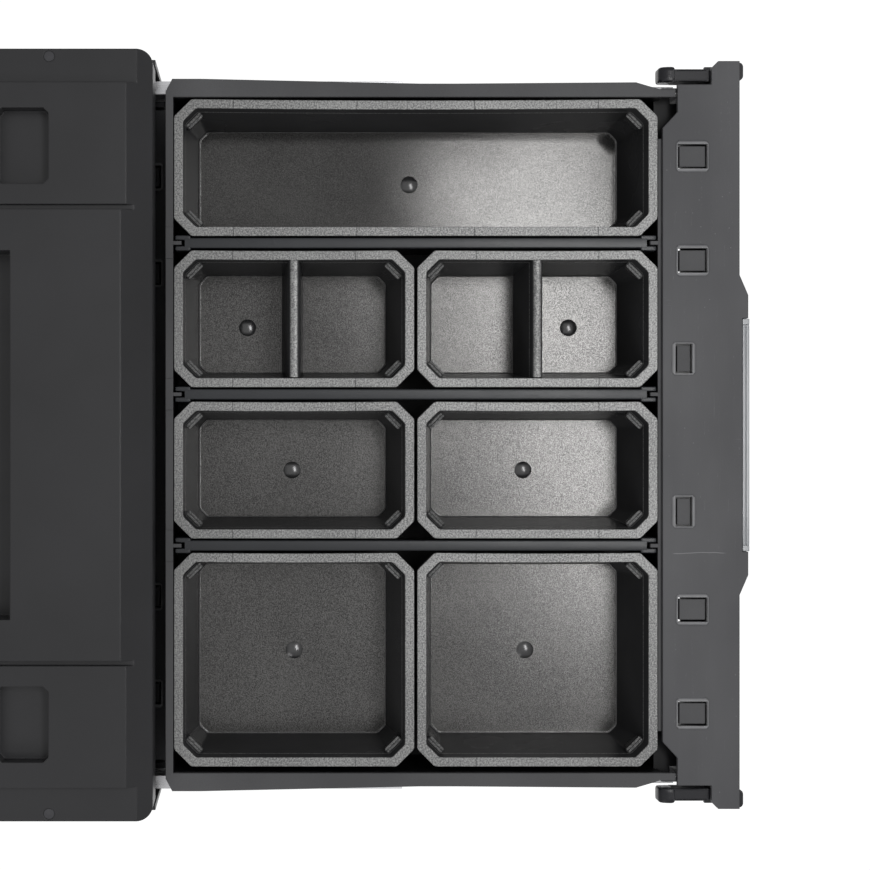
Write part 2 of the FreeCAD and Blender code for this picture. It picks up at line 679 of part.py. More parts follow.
save("base_tray", [base_tray()])
save("rubber_feet", foot_pads())
save("right_side_panel", [side_panel()])
save("left_side_panel", [mirrored(side_panel())])
save("back_panel", [back_panel()])
save("middle_crossbar", [crossbar()])
save("top_cover", [top_cover()])
save("case_screws", case_screws(0, 1) + case_screws(CASE_HEIGHT - SIDE_STEP_DROP, -1))
save("handle_pins", handle_pins())
save("carry_handle", [carry_handle()])
save("handle_grip", [grip_tube(0)])


# ---- slides
def channel(rim, front, outer, inner, half_height, back_is_outer):
    """A folded sheet channel of the right slide, from its front end and its two X faces."""
    z = rim - SLIDE_DROP
    depth = (reach(front), reach(SLIDE_BACK_REACH))
    body = box((inner, outer), depth, (z - half_height, z + half_height))
    lip = half_height - SLIDE_SHEET
    if back_is_outer:
        hollow_x = (inner, outer - SLIDE_SHEET)
    else:
        hollow_x = (inner + SLIDE_SHEET, outer)
    return body.cut(box(hollow_x, depth, (z - lip, z + lip)))


def outer_rail(rim):
    """The rail screwed to the casing."""
    inner = SLIDE_INNER + SLIDE_SHEET
    rail = channel(rim, SLIDE_FRONT_REACH, SLIDE_OUTER, inner, SLIDE_HALF_HEIGHT, True)
    z = rim - SLIDE_DROP
    holes = []
    for distance in SLIDE_SCREW_REACHES:
        radius = SCREW_RADIUS + HOLE_PLAY
        holes.append(rod("x", reach(distance), z, inner, SLIDE_OUTER, radius))
    return cut_from(rail, holes)


def middle_rail(rim):
    """The rail that runs between the other two at half their speed."""
    outer = SLIDE_OUTER - MIDDLE_SETBACK
    inner = SLIDE_INNER + SLIDE_SHEET
    return channel(rim, RAIL_FRONT_REACH, outer, inner, MIDDLE_HALF_HEIGHT, True)


def inner_rail(rim):
    """The rail riveted to the drawer."""
    outer = SLIDE_OUTER - MIDDLE_SETBACK - 2 * SLIDE_SHEET
    return_x = (SLIDE_INNER, outer)
    z = rim - SLIDE_DROP
    rail = channel(rim, RAIL_FRONT_REACH, return_x[1], return_x[0], INNER_HALF_HEIGHT, False)
    holes = []
    for distance in SLIDE_SCREW_REACHES:
        radius = SCREW_RADIUS + HOLE_PLAY
        holes.append(rod("x", reach(distance), z, SLIDE_INNER, outer, radius))
    return cut_from(rail, holes)


def glide_strips(rim):
    """Low-friction strips clipped to the middle rail, above and below its lips."""
    z = rim - SLIDE_DROP
    outer_x = (SLIDE_INNER + 2 * SLIDE_SHEET, SLIDE_OUTER - MIDDLE_SETBACK)
    inner_x = (SLIDE_INNER + 2 * SLIDE_SHEET, SLIDE_OUTER - MIDDLE_SETBACK - 2 * SLIDE_SHEET)
    rear_y = (reach(SLIDE_BACK_REACH - STRIP_LENGTH), reach(SLIDE_BACK_REACH))
    front_y = (reach(RAIL_FRONT_REACH), reach(RAIL_FRONT_REACH + STRIP_LENGTH))
    strips = []
    for side in (1, -1):
        far = SLIDE_HALF_HEIGHT - SLIDE_SHEET - STRIP_PLAY
        rear_z = (z + side * MIDDLE_HALF_HEIGHT, z + side * far)
        strips.append(box(outer_x, rear_y, rear_z))
        near = MIDDLE_HALF_HEIGHT - SLIDE_SHEET
        front_z = (z + side * (INNER_HALF_HEIGHT + STRIP_PLAY), z + side * near)
        strips.append(box(inner_x, front_y, front_z))
    return strips


def rail_screws(rim):
    """Screws that hold an outer rail to the casing."""
    z = rim - SLIDE_DROP
    web = SLIDE_OUTER - SLIDE_SHEET
    screws = []
    for distance in SLIDE_SCREW_REACHES:
        y = reach(distance)
        head = rod("x", y, z, web - SCREW_HEAD_HEIGHT, web, SCREW_HEAD_RADIUS)
        shank = rod("x", y, z, web, SLIDE_OUTER + SCREW_LENGTH, SCREW_RADIUS)
        screws.append(joined([head, shank]))
    return screws


def rail_rivets(rim):
    """Rivets that hold an inner rail to the drawer."""
    z = rim - SLIDE_DROP
    web = SLIDE_INNER + SLIDE_SHEET
    rivets = []
    for distance in SLIDE_SCREW_REACHES:
        y = reach(distance)
        head = rod("x", y, z, web, web + SCREW_HEAD_HEIGHT, SCREW_HEAD_RADIUS)
        shank = rod("x", y, z, SLIDE_INNER - RIVET_LENGTH, web, SCREW_RADIUS)
        rivets.append(joined([head, shank]))
    return rivets


# ---- drawer tubs
def row_widths():
    """The bin widths from the right wall to the left one."""
    return [SMALL_BIN_WIDTH, SMALL_BIN_WIDTH, SMALL_BIN_WIDTH, LARGE_BIN_WIDTH]


def row_middles():
    """The X of the middle of each row of bins."""
    middles = []
    edge = TUB_INNER_HALF_WIDTH - BIN_SIDE_CLEARANCE
    for width in row_widths():
        middles.append(edge - width / 2)
        edge -= width + 2 * BIN_BAR_GAP + BAR_WIDTH
    return middles


def bar_middles():
    """The X of the middle of each row divider."""
    middles = []
    for middle, width in list(zip(row_middles(), row_widths()))[:-1]:
        middles.append(middle - width / 2 - BIN_BAR_GAP - BAR_WIDTH / 2)
    return middles


def tab_places():
    """The X, width, reach and length of each snap tab on the cover."""
    places = []
    for side in (1, -1):
        for x in WIDE_TAB_CENTRES:
            places.append((side * x, WIDE_TAB_WIDTH, WIDE_TAB_REACH, WIDE_TAB_LENGTH))
        narrow = (side * NARROW_TAB_CENTRE, NARROW_TAB_WIDTH, NARROW_TAB_REACH, NARROW_TAB_LENGTH)
        places.append(narrow)
    return places


def window_border(x, width, distance, length, rim):
    """The raised frame of one window, which slopes down to the cover and is wider beside a longer tab."""
    long_way = length > width
    side_border = BORDER_WIDTH if long_way else BORDER_NARROW
    end_border = BORDER_NARROW if long_way else BORDER_WIDTH
    y = reach(distance + length / 2)
    half_x = width / 2 + side_border
    half_y = length / 2 + end_border
    foot = octagon(x, y, half_x, half_y, BORDER_CORNER)
    top_x = width / 2 + BORDER_EDGE
    top_y = length / 2 + BORDER_EDGE
    crest = octagon(x, y, top_x, top_y, BORDER_EDGE)
    frame = tapered(foot, rim, crest, rim + BORDER_RISE)
    root = prism("z", foot, rim - BORDER_SINK, rim)
    return joined([frame, root])


def side_flange(rim):
    """The right edge of a tub, which overhangs the slide and narrows at the front."""
    outer = COVER_END_HALF_WIDTH
    points = [
        (TUB_INNER_HALF_WIDTH, reach(COVER_SHOULDER_REACH + FLANGE_DROP)),
        (TUB_HALF_WIDTH + FLANGE_DROP, reach(COVER_SHOULDER_REACH + FLANGE_DROP)),
        (TUB_HALF_WIDTH + FLANGE_DROP, reach(COVER_REAR_REACH + FLANGE_DROP)),
        (outer + 1.5, reach(COVER_REAR_REACH + BIN_RIM_WIDTH + BIN_CORNER_CUT)),
        (outer + 0.7, reach(TUB_BACK / 2 - BIN_CORNER_CUT)),
        (outer + 0.7, reach(TUB_BACK / 2 + BIN_CORNER_CUT)),
        (outer + 3.6, reach(TUB_BACK - 2 * BIN_CORNER_CUT)),
        (outer + 3.6, reach(TUB_BACK - COVER_CORNER_CUT)),
        (TUB_HALF_WIDTH, reach(TUB_BACK)),
        (TUB_INNER_HALF_WIDTH, reach(TUB_BACK)),
    ]
    top = rim - FLANGE_DROP
    return prism("z", points, top - FLANGE_THICKNESS, top)


def corner_web(rim):
    """The flat web under the cover's cut-off corner, which closes the tub's notched corner."""
    inner = COVER_CHEEK_HALF_WIDTH - COVER_WALL - CORNER_WEB_GAP
    points = [
        (COVER_REAR_HALF_WIDTH - CORNER_NOTCH_INSET, reach(TUB_INNER_FRONT)),
        (COVER_REAR_HALF_WIDTH - CORNER_NOTCH_INSET, reach(COVER_SHOULDER_REACH - COVER_CORNER_CUT)),
        (inner, reach(COVER_SHOULDER_REACH - COVER_CORNER_CUT)),
        (inner, reach(COVER_SHOULDER_REACH + CORNER_WEB_GAP)),
        (TUB_HALF_WIDTH, reach(COVER_SHOULDER_REACH + CORNER_WEB_GAP)),
        (TUB_HALF_WIDTH, reach(TUB_INNER_FRONT)),
    ]
    top = rim - CORNER_NOTCH_DROP
    return prism("z", points, top - FLANGE_THICKNESS, top)


def flange_tongue(rim):
    """The step under the front end of the right edge, which reaches below the cover's end."""
    top = rim - FLANGE_DROP - FLANGE_THICKNESS
    x_span = (TUB_HALF_WIDTH, TUB_HALF_WIDTH + FLANGE_TONGUE_WIDTH)
    front = reach(COVER_SHOULDER_REACH - FLANGE_TONGUE_OVERLAP)
    y_span = (front, reach(COVER_REAR_REACH))
    tongue = box(x_span, y_span, (top - FLANGE_THICKNESS, top))
    root_x = (TUB_INNER_HALF_WIDTH, TUB_HALF_WIDTH + FLANGE_TONGUE_WIDTH)
    root_y = (reach(TUB_FRONT_REACH), reach(COVER_REAR_REACH))
    return joined([tongue, box(root_x, root_y, (top - FLANGE_THICKNESS, top))])


def tub(rim, depth, with_ribs):
    """A drawer: open box, edges, snap tabs and the ribs that locate the dividers."""
    top = rim - FLANGE_DROP
    bottom = rim - depth
    half = TUB_HALF_WIDTH
    inner = TUB_INNER_HALF_WIDTH
    outer_y = (reach(TUB_FRONT_REACH), reach(TUB_INNER_BACK + TUB_END_WALL))
    shell = rounded_block((-half, half), outer_y, (bottom, top), BIN_SKIRT_THICKNESS)
    inner_y = (reach(TUB_INNER_FRONT), reach(TUB_INNER_BACK))
    shell = shell.cut(box((-inner, inner), inner_y, (bottom + TUB_FLOOR, rim)))
    arm_top = rim - COVER_WALL - TAB_ARM_GAP
    wall_y = (reach(TUB_FRONT_REACH), reach(TUB_INNER_FRONT))
    shell = shell.cut(box((-half, half), wall_y, (arm_top, rim)))
    notch_x = (COVER_REAR_HALF_WIDTH - CORNER_NOTCH_INSET, inner)
    notch = box(notch_x, wall_y, (rim - CORNER_NOTCH_DROP, rim))
    shell = cut_from(shell, both_sides(notch))
    pieces = [shell] + both_sides(side_flange(rim))
    pieces += both_sides(corner_web(rim)) + both_sides(flange_tongue(rim))
    edge_y = (reach(TUB_INNER_BACK), reach(TUB_BACK))
    pieces.append(box((-half, half), edge_y, (top - FLANGE_THICKNESS, top)))
    lip_z = (top - 2 * FLANGE_THICKNESS, top)
    lip_y = (reach(TUB_BACK - BORDER_WIDTH), reach(TUB_BACK))
    pieces.append(box((-inner, inner), lip_y, lip_z))
    if with_ribs:
        rib_z = (bottom + TUB_FLOOR, top)
        for x in bar_middles():
            rib_x = (x - WALL_RIB_WIDTH / 2, x + WALL_RIB_WIDTH / 2)
            front = (reach(TUB_INNER_FRONT), reach(TUB_INNER_FRONT + WALL_RIB_LENGTH))
            back = (reach(TUB_INNER_BACK - WALL_RIB_LENGTH), reach(TUB_INNER_BACK))
            pieces += [box(rib_x, front, rib_z), box(rib_x, back, rib_z)]
            pad_x = (x - 1.5 * BAR_WIDTH, x + 1.5 * BAR_WIDTH)
            pieces.append(box(pad_x, edge_y, (top, top + BORDER_RISE)))
    for x, width, distance, length in tab_places():
        arm_x = (x - width / 2 + WINDOW_GAP, x + width / 2 - WINDOW_GAP)
        front = reach(distance + WINDOW_GAP)
        arm_y = (front, reach(TUB_INNER_FRONT))
        pieces.append(box(arm_x, arm_y, (arm_top - TAB_ARM_THICKNESS, arm_top)))
        hook_y = (front, reach(distance + length - WINDOW_GAP))
        pieces.append(box(arm_x, hook_y, (arm_top - TAB_ARM_THICKNESS, rim - TAB_TOP_DROP)))
    body = joined(pieces)
    holes = []
    for distance in SLIDE_SCREW_REACHES:
        y = reach(distance)
        low = SLIDE_INNER - RIVET_LENGTH - HOLE_PLAY
        hole = rod("x", y, rim - SLIDE_DROP, low, half, SCREW_RADIUS + HOLE_PLAY)
        holes += both_sides(hole)
    return cut_from(body, holes)


# ---- front covers
def cover_outline():
    """The cover seen from above, right half first."""
    right = [
        (COVER_REAR_HALF_WIDTH, reach(COVER_REAR_REACH)),
        (COVER_SHOULDER_HALF_WIDTH, reach(COVER_SHOULDER_REACH)),
        (COVER_END_HALF_WIDTH, reach(COVER_SHOULDER_REACH)),
        (COVER_END_HALF_WIDTH, reach(-END_BLOCK_GAP)),
        (COVER_HALF_WIDTH - COVER_CORNER_CUT, reach(-END_BLOCK_GAP)),
        (COVER_HALF_WIDTH, reach(-END_BLOCK_GAP - COVER_CORNER_CUT)),
        (COVER_HALF_WIDTH, reach(-COVER_FRONT)),
    ]
    left = [(-x, y) for x, y in reversed(right)]
    return right + left


def front_cover(rim, height):
    """The hollow cover that snaps onto the front of a tub, with its pull."""
    bottom = rim - height
    top_plate = prism("z", cover_outline(), rim - COVER_WALL, rim)
    front_y = (reach(-COVER_FRONT), reach(COVER_WALL - COVER_FRONT))
    pieces = [top_plate]
    wide = (-COVER_HALF_WIDTH, COVER_HALF_WIDTH)
    pieces.append(box(wide, front_y, (bottom, rim)))
    floor_y = (reach(-COVER_FRONT), reach(-END_BLOCK_GAP))
    pieces.append(box(wide, floor_y, (bottom, bottom + COVER_WALL)))
    for side in (1, -1):
        cheek_x = (side * (COVER_CHEEK_HALF_WIDTH - COVER_WALL), side * COVER_CHEEK_HALF_WIDTH)
        cheek_y = (reach(-COVER_FRONT), reach(COVER_SHOULDER_REACH))
        pieces.append(box(cheek_x, cheek_y, (bottom, rim)))
        end_x = (side * (COVER_HALF_WIDTH - COVER_WALL), side * COVER_HALF_WIDTH)
        end_y = (reach(-COVER_FRONT), reach(-END_BLOCK_GAP - COVER_CORNER_CUT))
        pieces.append(box(end_x, end_y, (bottom, rim)))
        for x in RIB_CENTRES:
            rib_x = (side * x - RIB_THICKNESS / 2, side * x + RIB_THICKNESS / 2)
            rib_y = (reach(-COVER_FRONT), reach(COVER_SHOULDER_REACH - LIP_THICKNESS))
            rib_z = (bottom, rim - 2 * TAB_ARM_THICKNESS - COVER_WALL - TAB_ARM_GAP)
            pieces.append(box(rib_x, rib_y, rib_z))
    eye_z = latch_levels(rim)[0] - LATCH_ROOM
    seat_x = (COVER_CHEEK_HALF_WIDTH - COVER_WALL, COVER_HALF_WIDTH)
    seat_y = (reach(-COVER_FRONT), reach(-END_BLOCK_GAP))
    seat = box(seat_x, seat_y, (eye_z - COVER_WALL, eye_z))
    pieces += both_sides(seat)
    pull = [
        (PULL_HALF_WIDTH, reach(-COVER_FRONT)),
        (PULL_TOP_HALF_WIDTH, reach(-COVER_FRONT - PULL_RISE)),
        (-PULL_TOP_HALF_WIDTH, reach(-COVER_FRONT - PULL_RISE)),
        (-PULL_HALF_WIDTH, reach(-COVER_FRONT)),
    ]
    pieces.append(prism("z", pull, rim - PULL_HEIGHT - SCOOP_WALL, rim))
    scoop_back = reach(COVER_WALL - COVER_FRONT + SCOOP_DEPTH)
    shell_x = (-SCOOP_HALF_WIDTH - SCOOP_WALL, SCOOP_HALF_WIDTH + SCOOP_WALL)
    shell_y = (reach(-COVER_FRONT), scoop_back + SCOOP_WALL)
    roof = rim - PULL_HEIGHT + SCOOP_LIP_HEIGHT
    shell_z = (rim - SCOOP_DROP - SCOOP_WALL, roof + SCOOP_WALL)
    pieces.append(box(shell_x, shell_y, shell_z))
    for x, width, distance, length in tab_places():
        pieces.append(window_border(x, width, distance, length, rim))
    cover = joined(pieces)
    cuts = []
    scoop_x = (-SCOOP_HALF_WIDTH, SCOOP_HALF_WIDTH)
    open_y = (reach(-COVER_FRONT - 2 * PULL_RISE), scoop_back)
    cuts.append(box(scoop_x, open_y, (rim - SCOOP_DROP, rim - PULL_HEIGHT)))
    behind_y = (reach(LIP_THICKNESS - COVER_FRONT), scoop_back)
    cuts.append(box(scoop_x, behind_y, (rim - PULL_HEIGHT, roof)))
    for x, width, distance, length in tab_places():
        window_x = (x - width / 2, x + width / 2)
        window_y = (reach(distance), reach(distance + length))
        cuts.append(box(window_x, window_y, (rim - 2 * COVER_WALL, rim + 2 * BORDER_RISE)))
    label_x = LABEL_HALF_WIDTH + LABEL_CLEARANCE
    label_front = -COVER_FRONT - PULL_RISE - LABEL_PROUD
    label_y = (reach(label_front - 1), reach(label_front + LABEL_DEPTH + LABEL_CLEARANCE))
    cuts.append(box((-label_x, label_x), label_y, (rim - LABEL_HEIGHT - LABEL_CLEARANCE, rim + 1)))
    levels = latch_levels(rim)
    slot_low = levels[0] - LATCH_ROOM
    slot_high = rim - COVER_WALL
    slot_x = (LATCH_PIN_HALF_WIDTH - LATCH_EYE_RADIUS - LATCH_ROOM, COVER_HALF_WIDTH + 1)
    slot_y = (reach(-COVER_FRONT - 1), reach(1))
    cuts += both_sides(box(slot_x, slot_y, (slot_low, slot_high)))
    return cut_from(cover, cuts + latch_pins(rim, HOLE_PLAY))


def label_window(rim):
    """A clear tray over the label, open at the back."""
    front = -COVER_FRONT - PULL_RISE - LABEL_PROUD
    high = rim - TAB_TOP_DROP
    low = rim - LABEL_HEIGHT
    half = LABEL_HALF_WIDTH
    tray = box((-half, half), (reach(front), reach(front + LABEL_DEPTH)), (low, high))
    inner = half - LABEL_SHEET
    hollow_y = (reach(front + LABEL_SHEET), reach(front + LABEL_DEPTH))
    return tray.cut(box((-inner, inner), hollow_y, (low + LABEL_SHEET, high - LABEL_SHEET)))


def label_card(rim):
    """A blank card behind the label window."""
    front = -COVER_FRONT - PULL_RISE - LABEL_PROUD + LABEL_DEPTH / 2
    half = LABEL_HALF_WIDTH - LABEL_SHEET - CARD_CLEARANCE
    low = rim - LABEL_HEIGHT + LABEL_SHEET
    high = rim - TAB_TOP_DROP - LABEL_SHEET - CARD_CLEARANCE
    return box((-half, half), (reach(front), reach(front + CARD_THICKNESS)), (low, high))


# ---- latches
def latch_levels(rim):
    """The bottom and top of a latch lever."""
    high = rim - LATCH_DROP
    return high - LATCH_HEIGHT, high


def latch_pins(rim, play=0.0):
    """The upright pins that the levers turn on."""
    low = latch_levels(rim)[0] - LATCH_ROOM - COVER_WALL + 1 - play
    high = rim - COVER_WALL / 2 + play
    y = reach(-LATCH_PIN_FRONT)
    pin = rod("z", LATCH_PIN_HALF_WIDTH, y, low, high, LATCH_PIN_RADIUS + play)
    return both_sides(pin)


def latch_lever(rim):
    """The right lever: a barbed arm behind the pin and a thumb tab in front."""
    low, high = latch_levels(rim)
    x = LATCH_PIN_HALF_WIDTH
    pin_reach = -LATCH_PIN_FRONT
    arm_start = reach(END_BLOCK_GAP / 2)
    arm = [
        (x - LATCH_NECK_HALF, reach(pin_reach)),
        (x + LATCH_NECK_HALF, reach(pin_reach)),
        (LATCH_ARM_OUTER, arm_start),
        (LATCH_ARM_OUTER, reach(LATCH_BARB_REACH)),
        (LATCH_BARB, reach(LATCH_BARB_REACH)),
        (LATCH_BARB, reach(LATCH_BARB_REACH + COVER_CORNER_CUT)),
        (LATCH_BARB - BIN_RIM_WIDTH, reach(LATCH_END_REACH)),
        (LATCH_ARM_INNER, reach(LATCH_END_REACH)),
        (LATCH_ARM_INNER, arm_start),
    ]
    tab_back = LATCH_TAB_THICKNESS - LATCH_TAB_FRONT
    tab = [
        (x - LATCH_NECK_HALF, reach(pin_reach)),
        (x - LATCH_NECK_HALF, reach(-LATCH_TAB_FRONT + 1)),
        (LATCH_TAB_INNER, reach(-LATCH_TAB_FRONT)),
        (COVER_HALF_WIDTH - 1, reach(-LATCH_TAB_FRONT)),
        (COVER_HALF_WIDTH, reach(-LATCH_TAB_FRONT + 1)),
        (COVER_HALF_WIDTH, reach(tab_back + 2 * LATCH_TAB_THICKNESS)),
        (COVER_HALF_WIDTH - LATCH_TAB_THICKNESS, reach(tab_back + 2 * LATCH_TAB_THICKNESS)),
        (COVER_HALF_WIDTH - LATCH_TAB_THICKNESS, reach(tab_back)),
        (x + LATCH_NECK_HALF, reach(tab_back)),
        (x + LATCH_NECK_HALF, reach(pin_reach)),
    ]
    eye = rod("z", x, reach(pin_reach), low, high, LATCH_EYE_RADIUS)
    pieces = [prism("z", arm, low, high), prism("z", tab, low, high), eye]
    lever = joined(pieces)
    bore = LATCH_PIN_RADIUS + LATCH_PIN_PLAY
    room = SPRING_RADIUS + SPRING_SHEET + SPRING_ROOM
    ceiling = high - LATCH_EYE_HEIGHT
    y = reach(pin_reach)
    cuts = [rod("z", x, y, low, high, bore), rod("z", x, y, low - 1, ceiling, room)]
    return cut_from(lever, cuts)


def latch_spring(rim):
    """The flat hairpin spring around the right latch pin."""
    low = latch_levels(rim)[0] + HOLE_PLAY
    high = low + SPRING_HEIGHT
    x = LATCH_PIN_HALF_WIDTH
    y = reach(-LATCH_PIN_FRONT)
    outer = SPRING_RADIUS + SPRING_SHEET
    bend = rod("z", x, y, low, high, outer).cut(rod("z", x, y, low, high, SPRING_RADIUS))
    behind = box((x - outer, x + outer), (y, y + outer), (low, high))
    pieces = [bend.common(behind)]
    for side in (1, -1):
        leg_x = (x + side * SPRING_RADIUS, x + side * outer)
        pieces.append(box(leg_x, (y - SPRING_LEG, y), (low, high)))
    return joined(pieces)


# ---- bins and row dividers
def bin_top(rim):
    """The level of the bins' rims."""
    return rim - BIN_RIM_DROP


def bin_shell(x_mid, y_mid, width, length, gates, split=False):
    """A lift-out bin with sloping walls, a turned-down rim and corner ledges."""
    top = bin_top(UPPER_RIM)
    bottom = UPPER_RIM - UPPER_TUB_DEPTH + TUB_FLOOR + LIFT_FLOOR_GAP
    half_x = width / 2
    half_y = length / 2
    outline = octagon(x_mid, y_mid, half_x, half_y, BIN_CORNER_CUT)
    mouth_x = half_x - BIN_RIM_WIDTH
    mouth_y = half_y - BIN_RIM_WIDTH
    foot_x = mouth_x - BIN_SIDE_DRAFT
    foot_y = mouth_y - BIN_END_DRAFT
    cut = BIN_INNER_CUT
    wall = BIN_WALL
    mouth = octagon(x_mid, y_mid, mouth_x, mouth_y, cut)
    foot = octagon(x_mid, y_mid, foot_x, foot_y, cut)
    outer_mouth = octagon(x_mid, y_mid, mouth_x + wall, mouth_y + wall, cut + wall / 2)
    outer_foot = octagon(x_mid, y_mid, foot_x + wall, foot_y + wall, cut + wall / 2)
    body = tapered(outer_foot, bottom, outer_mouth, top)
    rim_plate = prism("z", outline, top - BIN_RIM_THICKNESS, top)
    skirt_inner_x = half_x - BIN_SKIRT_THICKNESS
    skirt_inner_y = half_y - BIN_SKIRT_THICKNESS
    skirt_cut = BIN_CORNER_CUT - BIN_SKIRT_THICKNESS / 2
    skirt_hole = octagon(x_mid, y_mid, skirt_inner_x, skirt_inner_y, skirt_cut)
    skirt_low = top - BIN_SKIRT_HEIGHT
    skirt = prism("z", outline, skirt_low, top)
    skirt = skirt.cut(prism("z", skirt_hole, skirt_low, top))
    solid = joined([body, rim_plate, skirt])
    hollow = tapered(foot, bottom + wall, mouth, top)
    shell = solid.cut(hollow)
    additions = corner_ledges(x_mid, y_mid, mouth_x, mouth_y, top)
    for gate_x, gate_y in gates:
        additions.append(gate_dome(x_mid + gate_x, y_mid + gate_y, bottom + wall))
    if split:
        additions.append(partition(x_mid, y_mid, mouth_x, bottom, top))
    inside = body.cut(rod("z", x_mid, y_mid, bottom - 1, bottom, half_x))
    shell = joined([shell] + [inside.common(extra) for extra in additions])
    if split:
        shell = shell.cut(partition_hollow(x_mid, y_mid, foot_x - wall, bottom, top))
    return shell.removeSplitter()


def corner_ledges(x_mid, y_mid, mouth_x, mouth_y, top):
    """A ledge and a smaller gusset across each inner corner."""
    parts = []
    levels = (top - LEDGE_DROP - LEDGE_THICKNESS, top - LEDGE_DROP)
    gusset = (levels[0] - GUSSET_HEIGHT, levels[0])
    for width, (low, high) in ((LEDGE_WIDTH, levels), (GUSSET_WIDTH, gusset)):
        ring = prism("z", octagon(x_mid, y_mid, mouth_x, mouth_y, BIN_INNER_CUT), low, high)
        wider = BIN_INNER_CUT + 2 * BIN_SIDE_DRAFT * LEDGE_DROP / UPPER_TUB_DEPTH + width
        hole = octagon(x_mid, y_mid, mouth_x, mouth_y, wider)
        parts.append(ring.cut(prism("z", hole, low, high)))
    return parts


def gate_dome(x, y, floor):
    """The shallow moulding mark on a bin's floor."""
    radius = (GATE_RADIUS ** 2 + GATE_RISE ** 2) / (2 * GATE_RISE)
    centre = FreeCAD.Vector(x, y, floor + GATE_RISE - radius)
    ball = Part.makeSphere(radius, centre)
    reach_out = (x - GATE_RADIUS, x + GATE_RADIUS)
    depth = (y - GATE_RADIUS, y + GATE_RADIUS)
    return ball.common(box(reach_out, depth, (floor - BIN_WALL / 2, floor + GATE_RISE)))


def partition(x_mid, y_mid, mouth_x, bottom, top):
    """The fold that splits a bin in two, wider at its foot."""
    points = [
        (y_mid - SPLIT_TOP / 2, top),
        (y_mid + SPLIT_TOP / 2, top),
        (y_mid + SPLIT_FOOT / 2, bottom),
        (y_mid - SPLIT_FOOT / 2, bottom),
    ]
    return prism("x", points, x_mid - mouth_x - BIN_WALL, x_mid + mouth_x + BIN_WALL)


def partition_hollow(x_mid, y_mid, half_x, bottom, top):
    """The space under the fold."""
    points = [
        (y_mid - SPLIT_TOP / 2 + BIN_WALL, top - 2 * BIN_WALL),
        (y_mid + SPLIT_TOP / 2 - BIN_WALL, top - 2 * BIN_WALL),
        (y_mid + SPLIT_FOOT / 2 - BIN_WALL, bottom - 1),
        (y_mid - SPLIT_FOOT / 2 + BIN_WALL, bottom - 1),
    ]
    return prism("x", points, x_mid - half_x, x_mid + half_x)


def row_divider(x):
    """A divider with a broad top edge and forked ends that straddle the tub's ribs."""
    top = bin_top(UPPER_RIM)
    bottom = UPPER_RIM - UPPER_TUB_DEPTH + TUB_FLOOR + LIFT_FLOOR_GAP
    first = TUB_INNER_FRONT + BAR_REACH_INSET
    last = TUB_INNER_BACK - BAR_REACH_INSET
    edge_x = (x - BAR_WIDTH / 2, x + BAR_WIDTH / 2)
    edge = box(edge_x, (reach(first), reach(last)), (top - BAR_TOP_HEIGHT, top))
    half = BAR_PLATE_THICKNESS / 2
    plate = box((x - half, x + half), (reach(first), reach(last)), (bottom, top))
    pieces = [edge, plate]
    front_end = TUB_INNER_FRONT + BAR_END_CLEARANCE
    back_end = TUB_INNER_BACK - BAR_END_CLEARANCE
    cuts = []
    for start, end, root in ((front_end, first, first), (last, back_end, last)):
        fork_x = (x - FORK_WIDTH / 2, x + FORK_WIDTH / 2)
        shift = FORK_SLOT / 2 if root == first else -FORK_SLOT / 2
        fork_y = (reach(min(start, root + shift)), reach(max(end, root + shift)))
        pieces.append(box(fork_x, fork_y, (bottom, top)))
        slot_x = (x - FORK_SLOT / 2, x + FORK_SLOT / 2)
        cuts.append(box(slot_x, (reach(start), reach(end)), (bottom, top)))
    return cut_from(joined(pieces), cuts)


# ---- slides and drawers, written out
for level, rim, shift, half_shift in (
    ("upper", UPPER_RIM, OPEN_SHIFT, HALF_SHIFT),
    ("lower", LOWER_RIM, NO_SHIFT, NO_SHIFT),
):
    height = UPPER_COVER_HEIGHT if level == "upper" else LOWER_COVER_HEIGHT
    depth = UPPER_TUB_DEPTH if level == "upper" else LOWER_TUB_DEPTH
    save(level + "_right_outer_rail", [outer_rail(rim)])
    save(level + "_left_outer_rail", [mirrored(outer_rail(rim))])
    save(level + "_right_middle_rail", [middle_rail(rim)], half_shift)
    save(level + "_left_middle_rail", [mirrored(middle_rail(rim))], half_shift)
    save(level + "_right_glide_strips", glide_strips(rim), half_shift)
    save(level + "_left_glide_strips", [mirrored(s) for s in glide_strips(rim)], half_shift)
    save(level + "_right_inner_rail", [inner_rail(rim)], shift)
    save(level + "_left_inner_rail", [mirrored(inner_rail(rim))], shift)
    rivets = rail_rivets(rim)
    save(level + "_rail_rivets", rivets + [mirrored(r) for r in rivets], shift)
    save(level + "_drawer_tub", [tub(rim, depth, level == "upper")], shift)
    save(level + "_front_cover", [front_cover(rim, height)], shift)
    save(level + "_label_window", [label_window(rim)], shift)
    save(level + "_label_card", [label_card(rim)], shift)
    save(level + "_right_latch", [latch_lever(rim)], shift)
    save(level + "_left_latch", [mirrored(latch_lever(rim))], shift)
    save(level + "_latch_pins", latch_pins(rim), shift)
    save(level + "_latch_springs", both_sides(latch_spring(rim)), shift)

screws = rail_screws(UPPER_RIM) + rail_screws(LOWER_RIM)
save("rail_screws", screws + [mirrored(s) for s in screws])

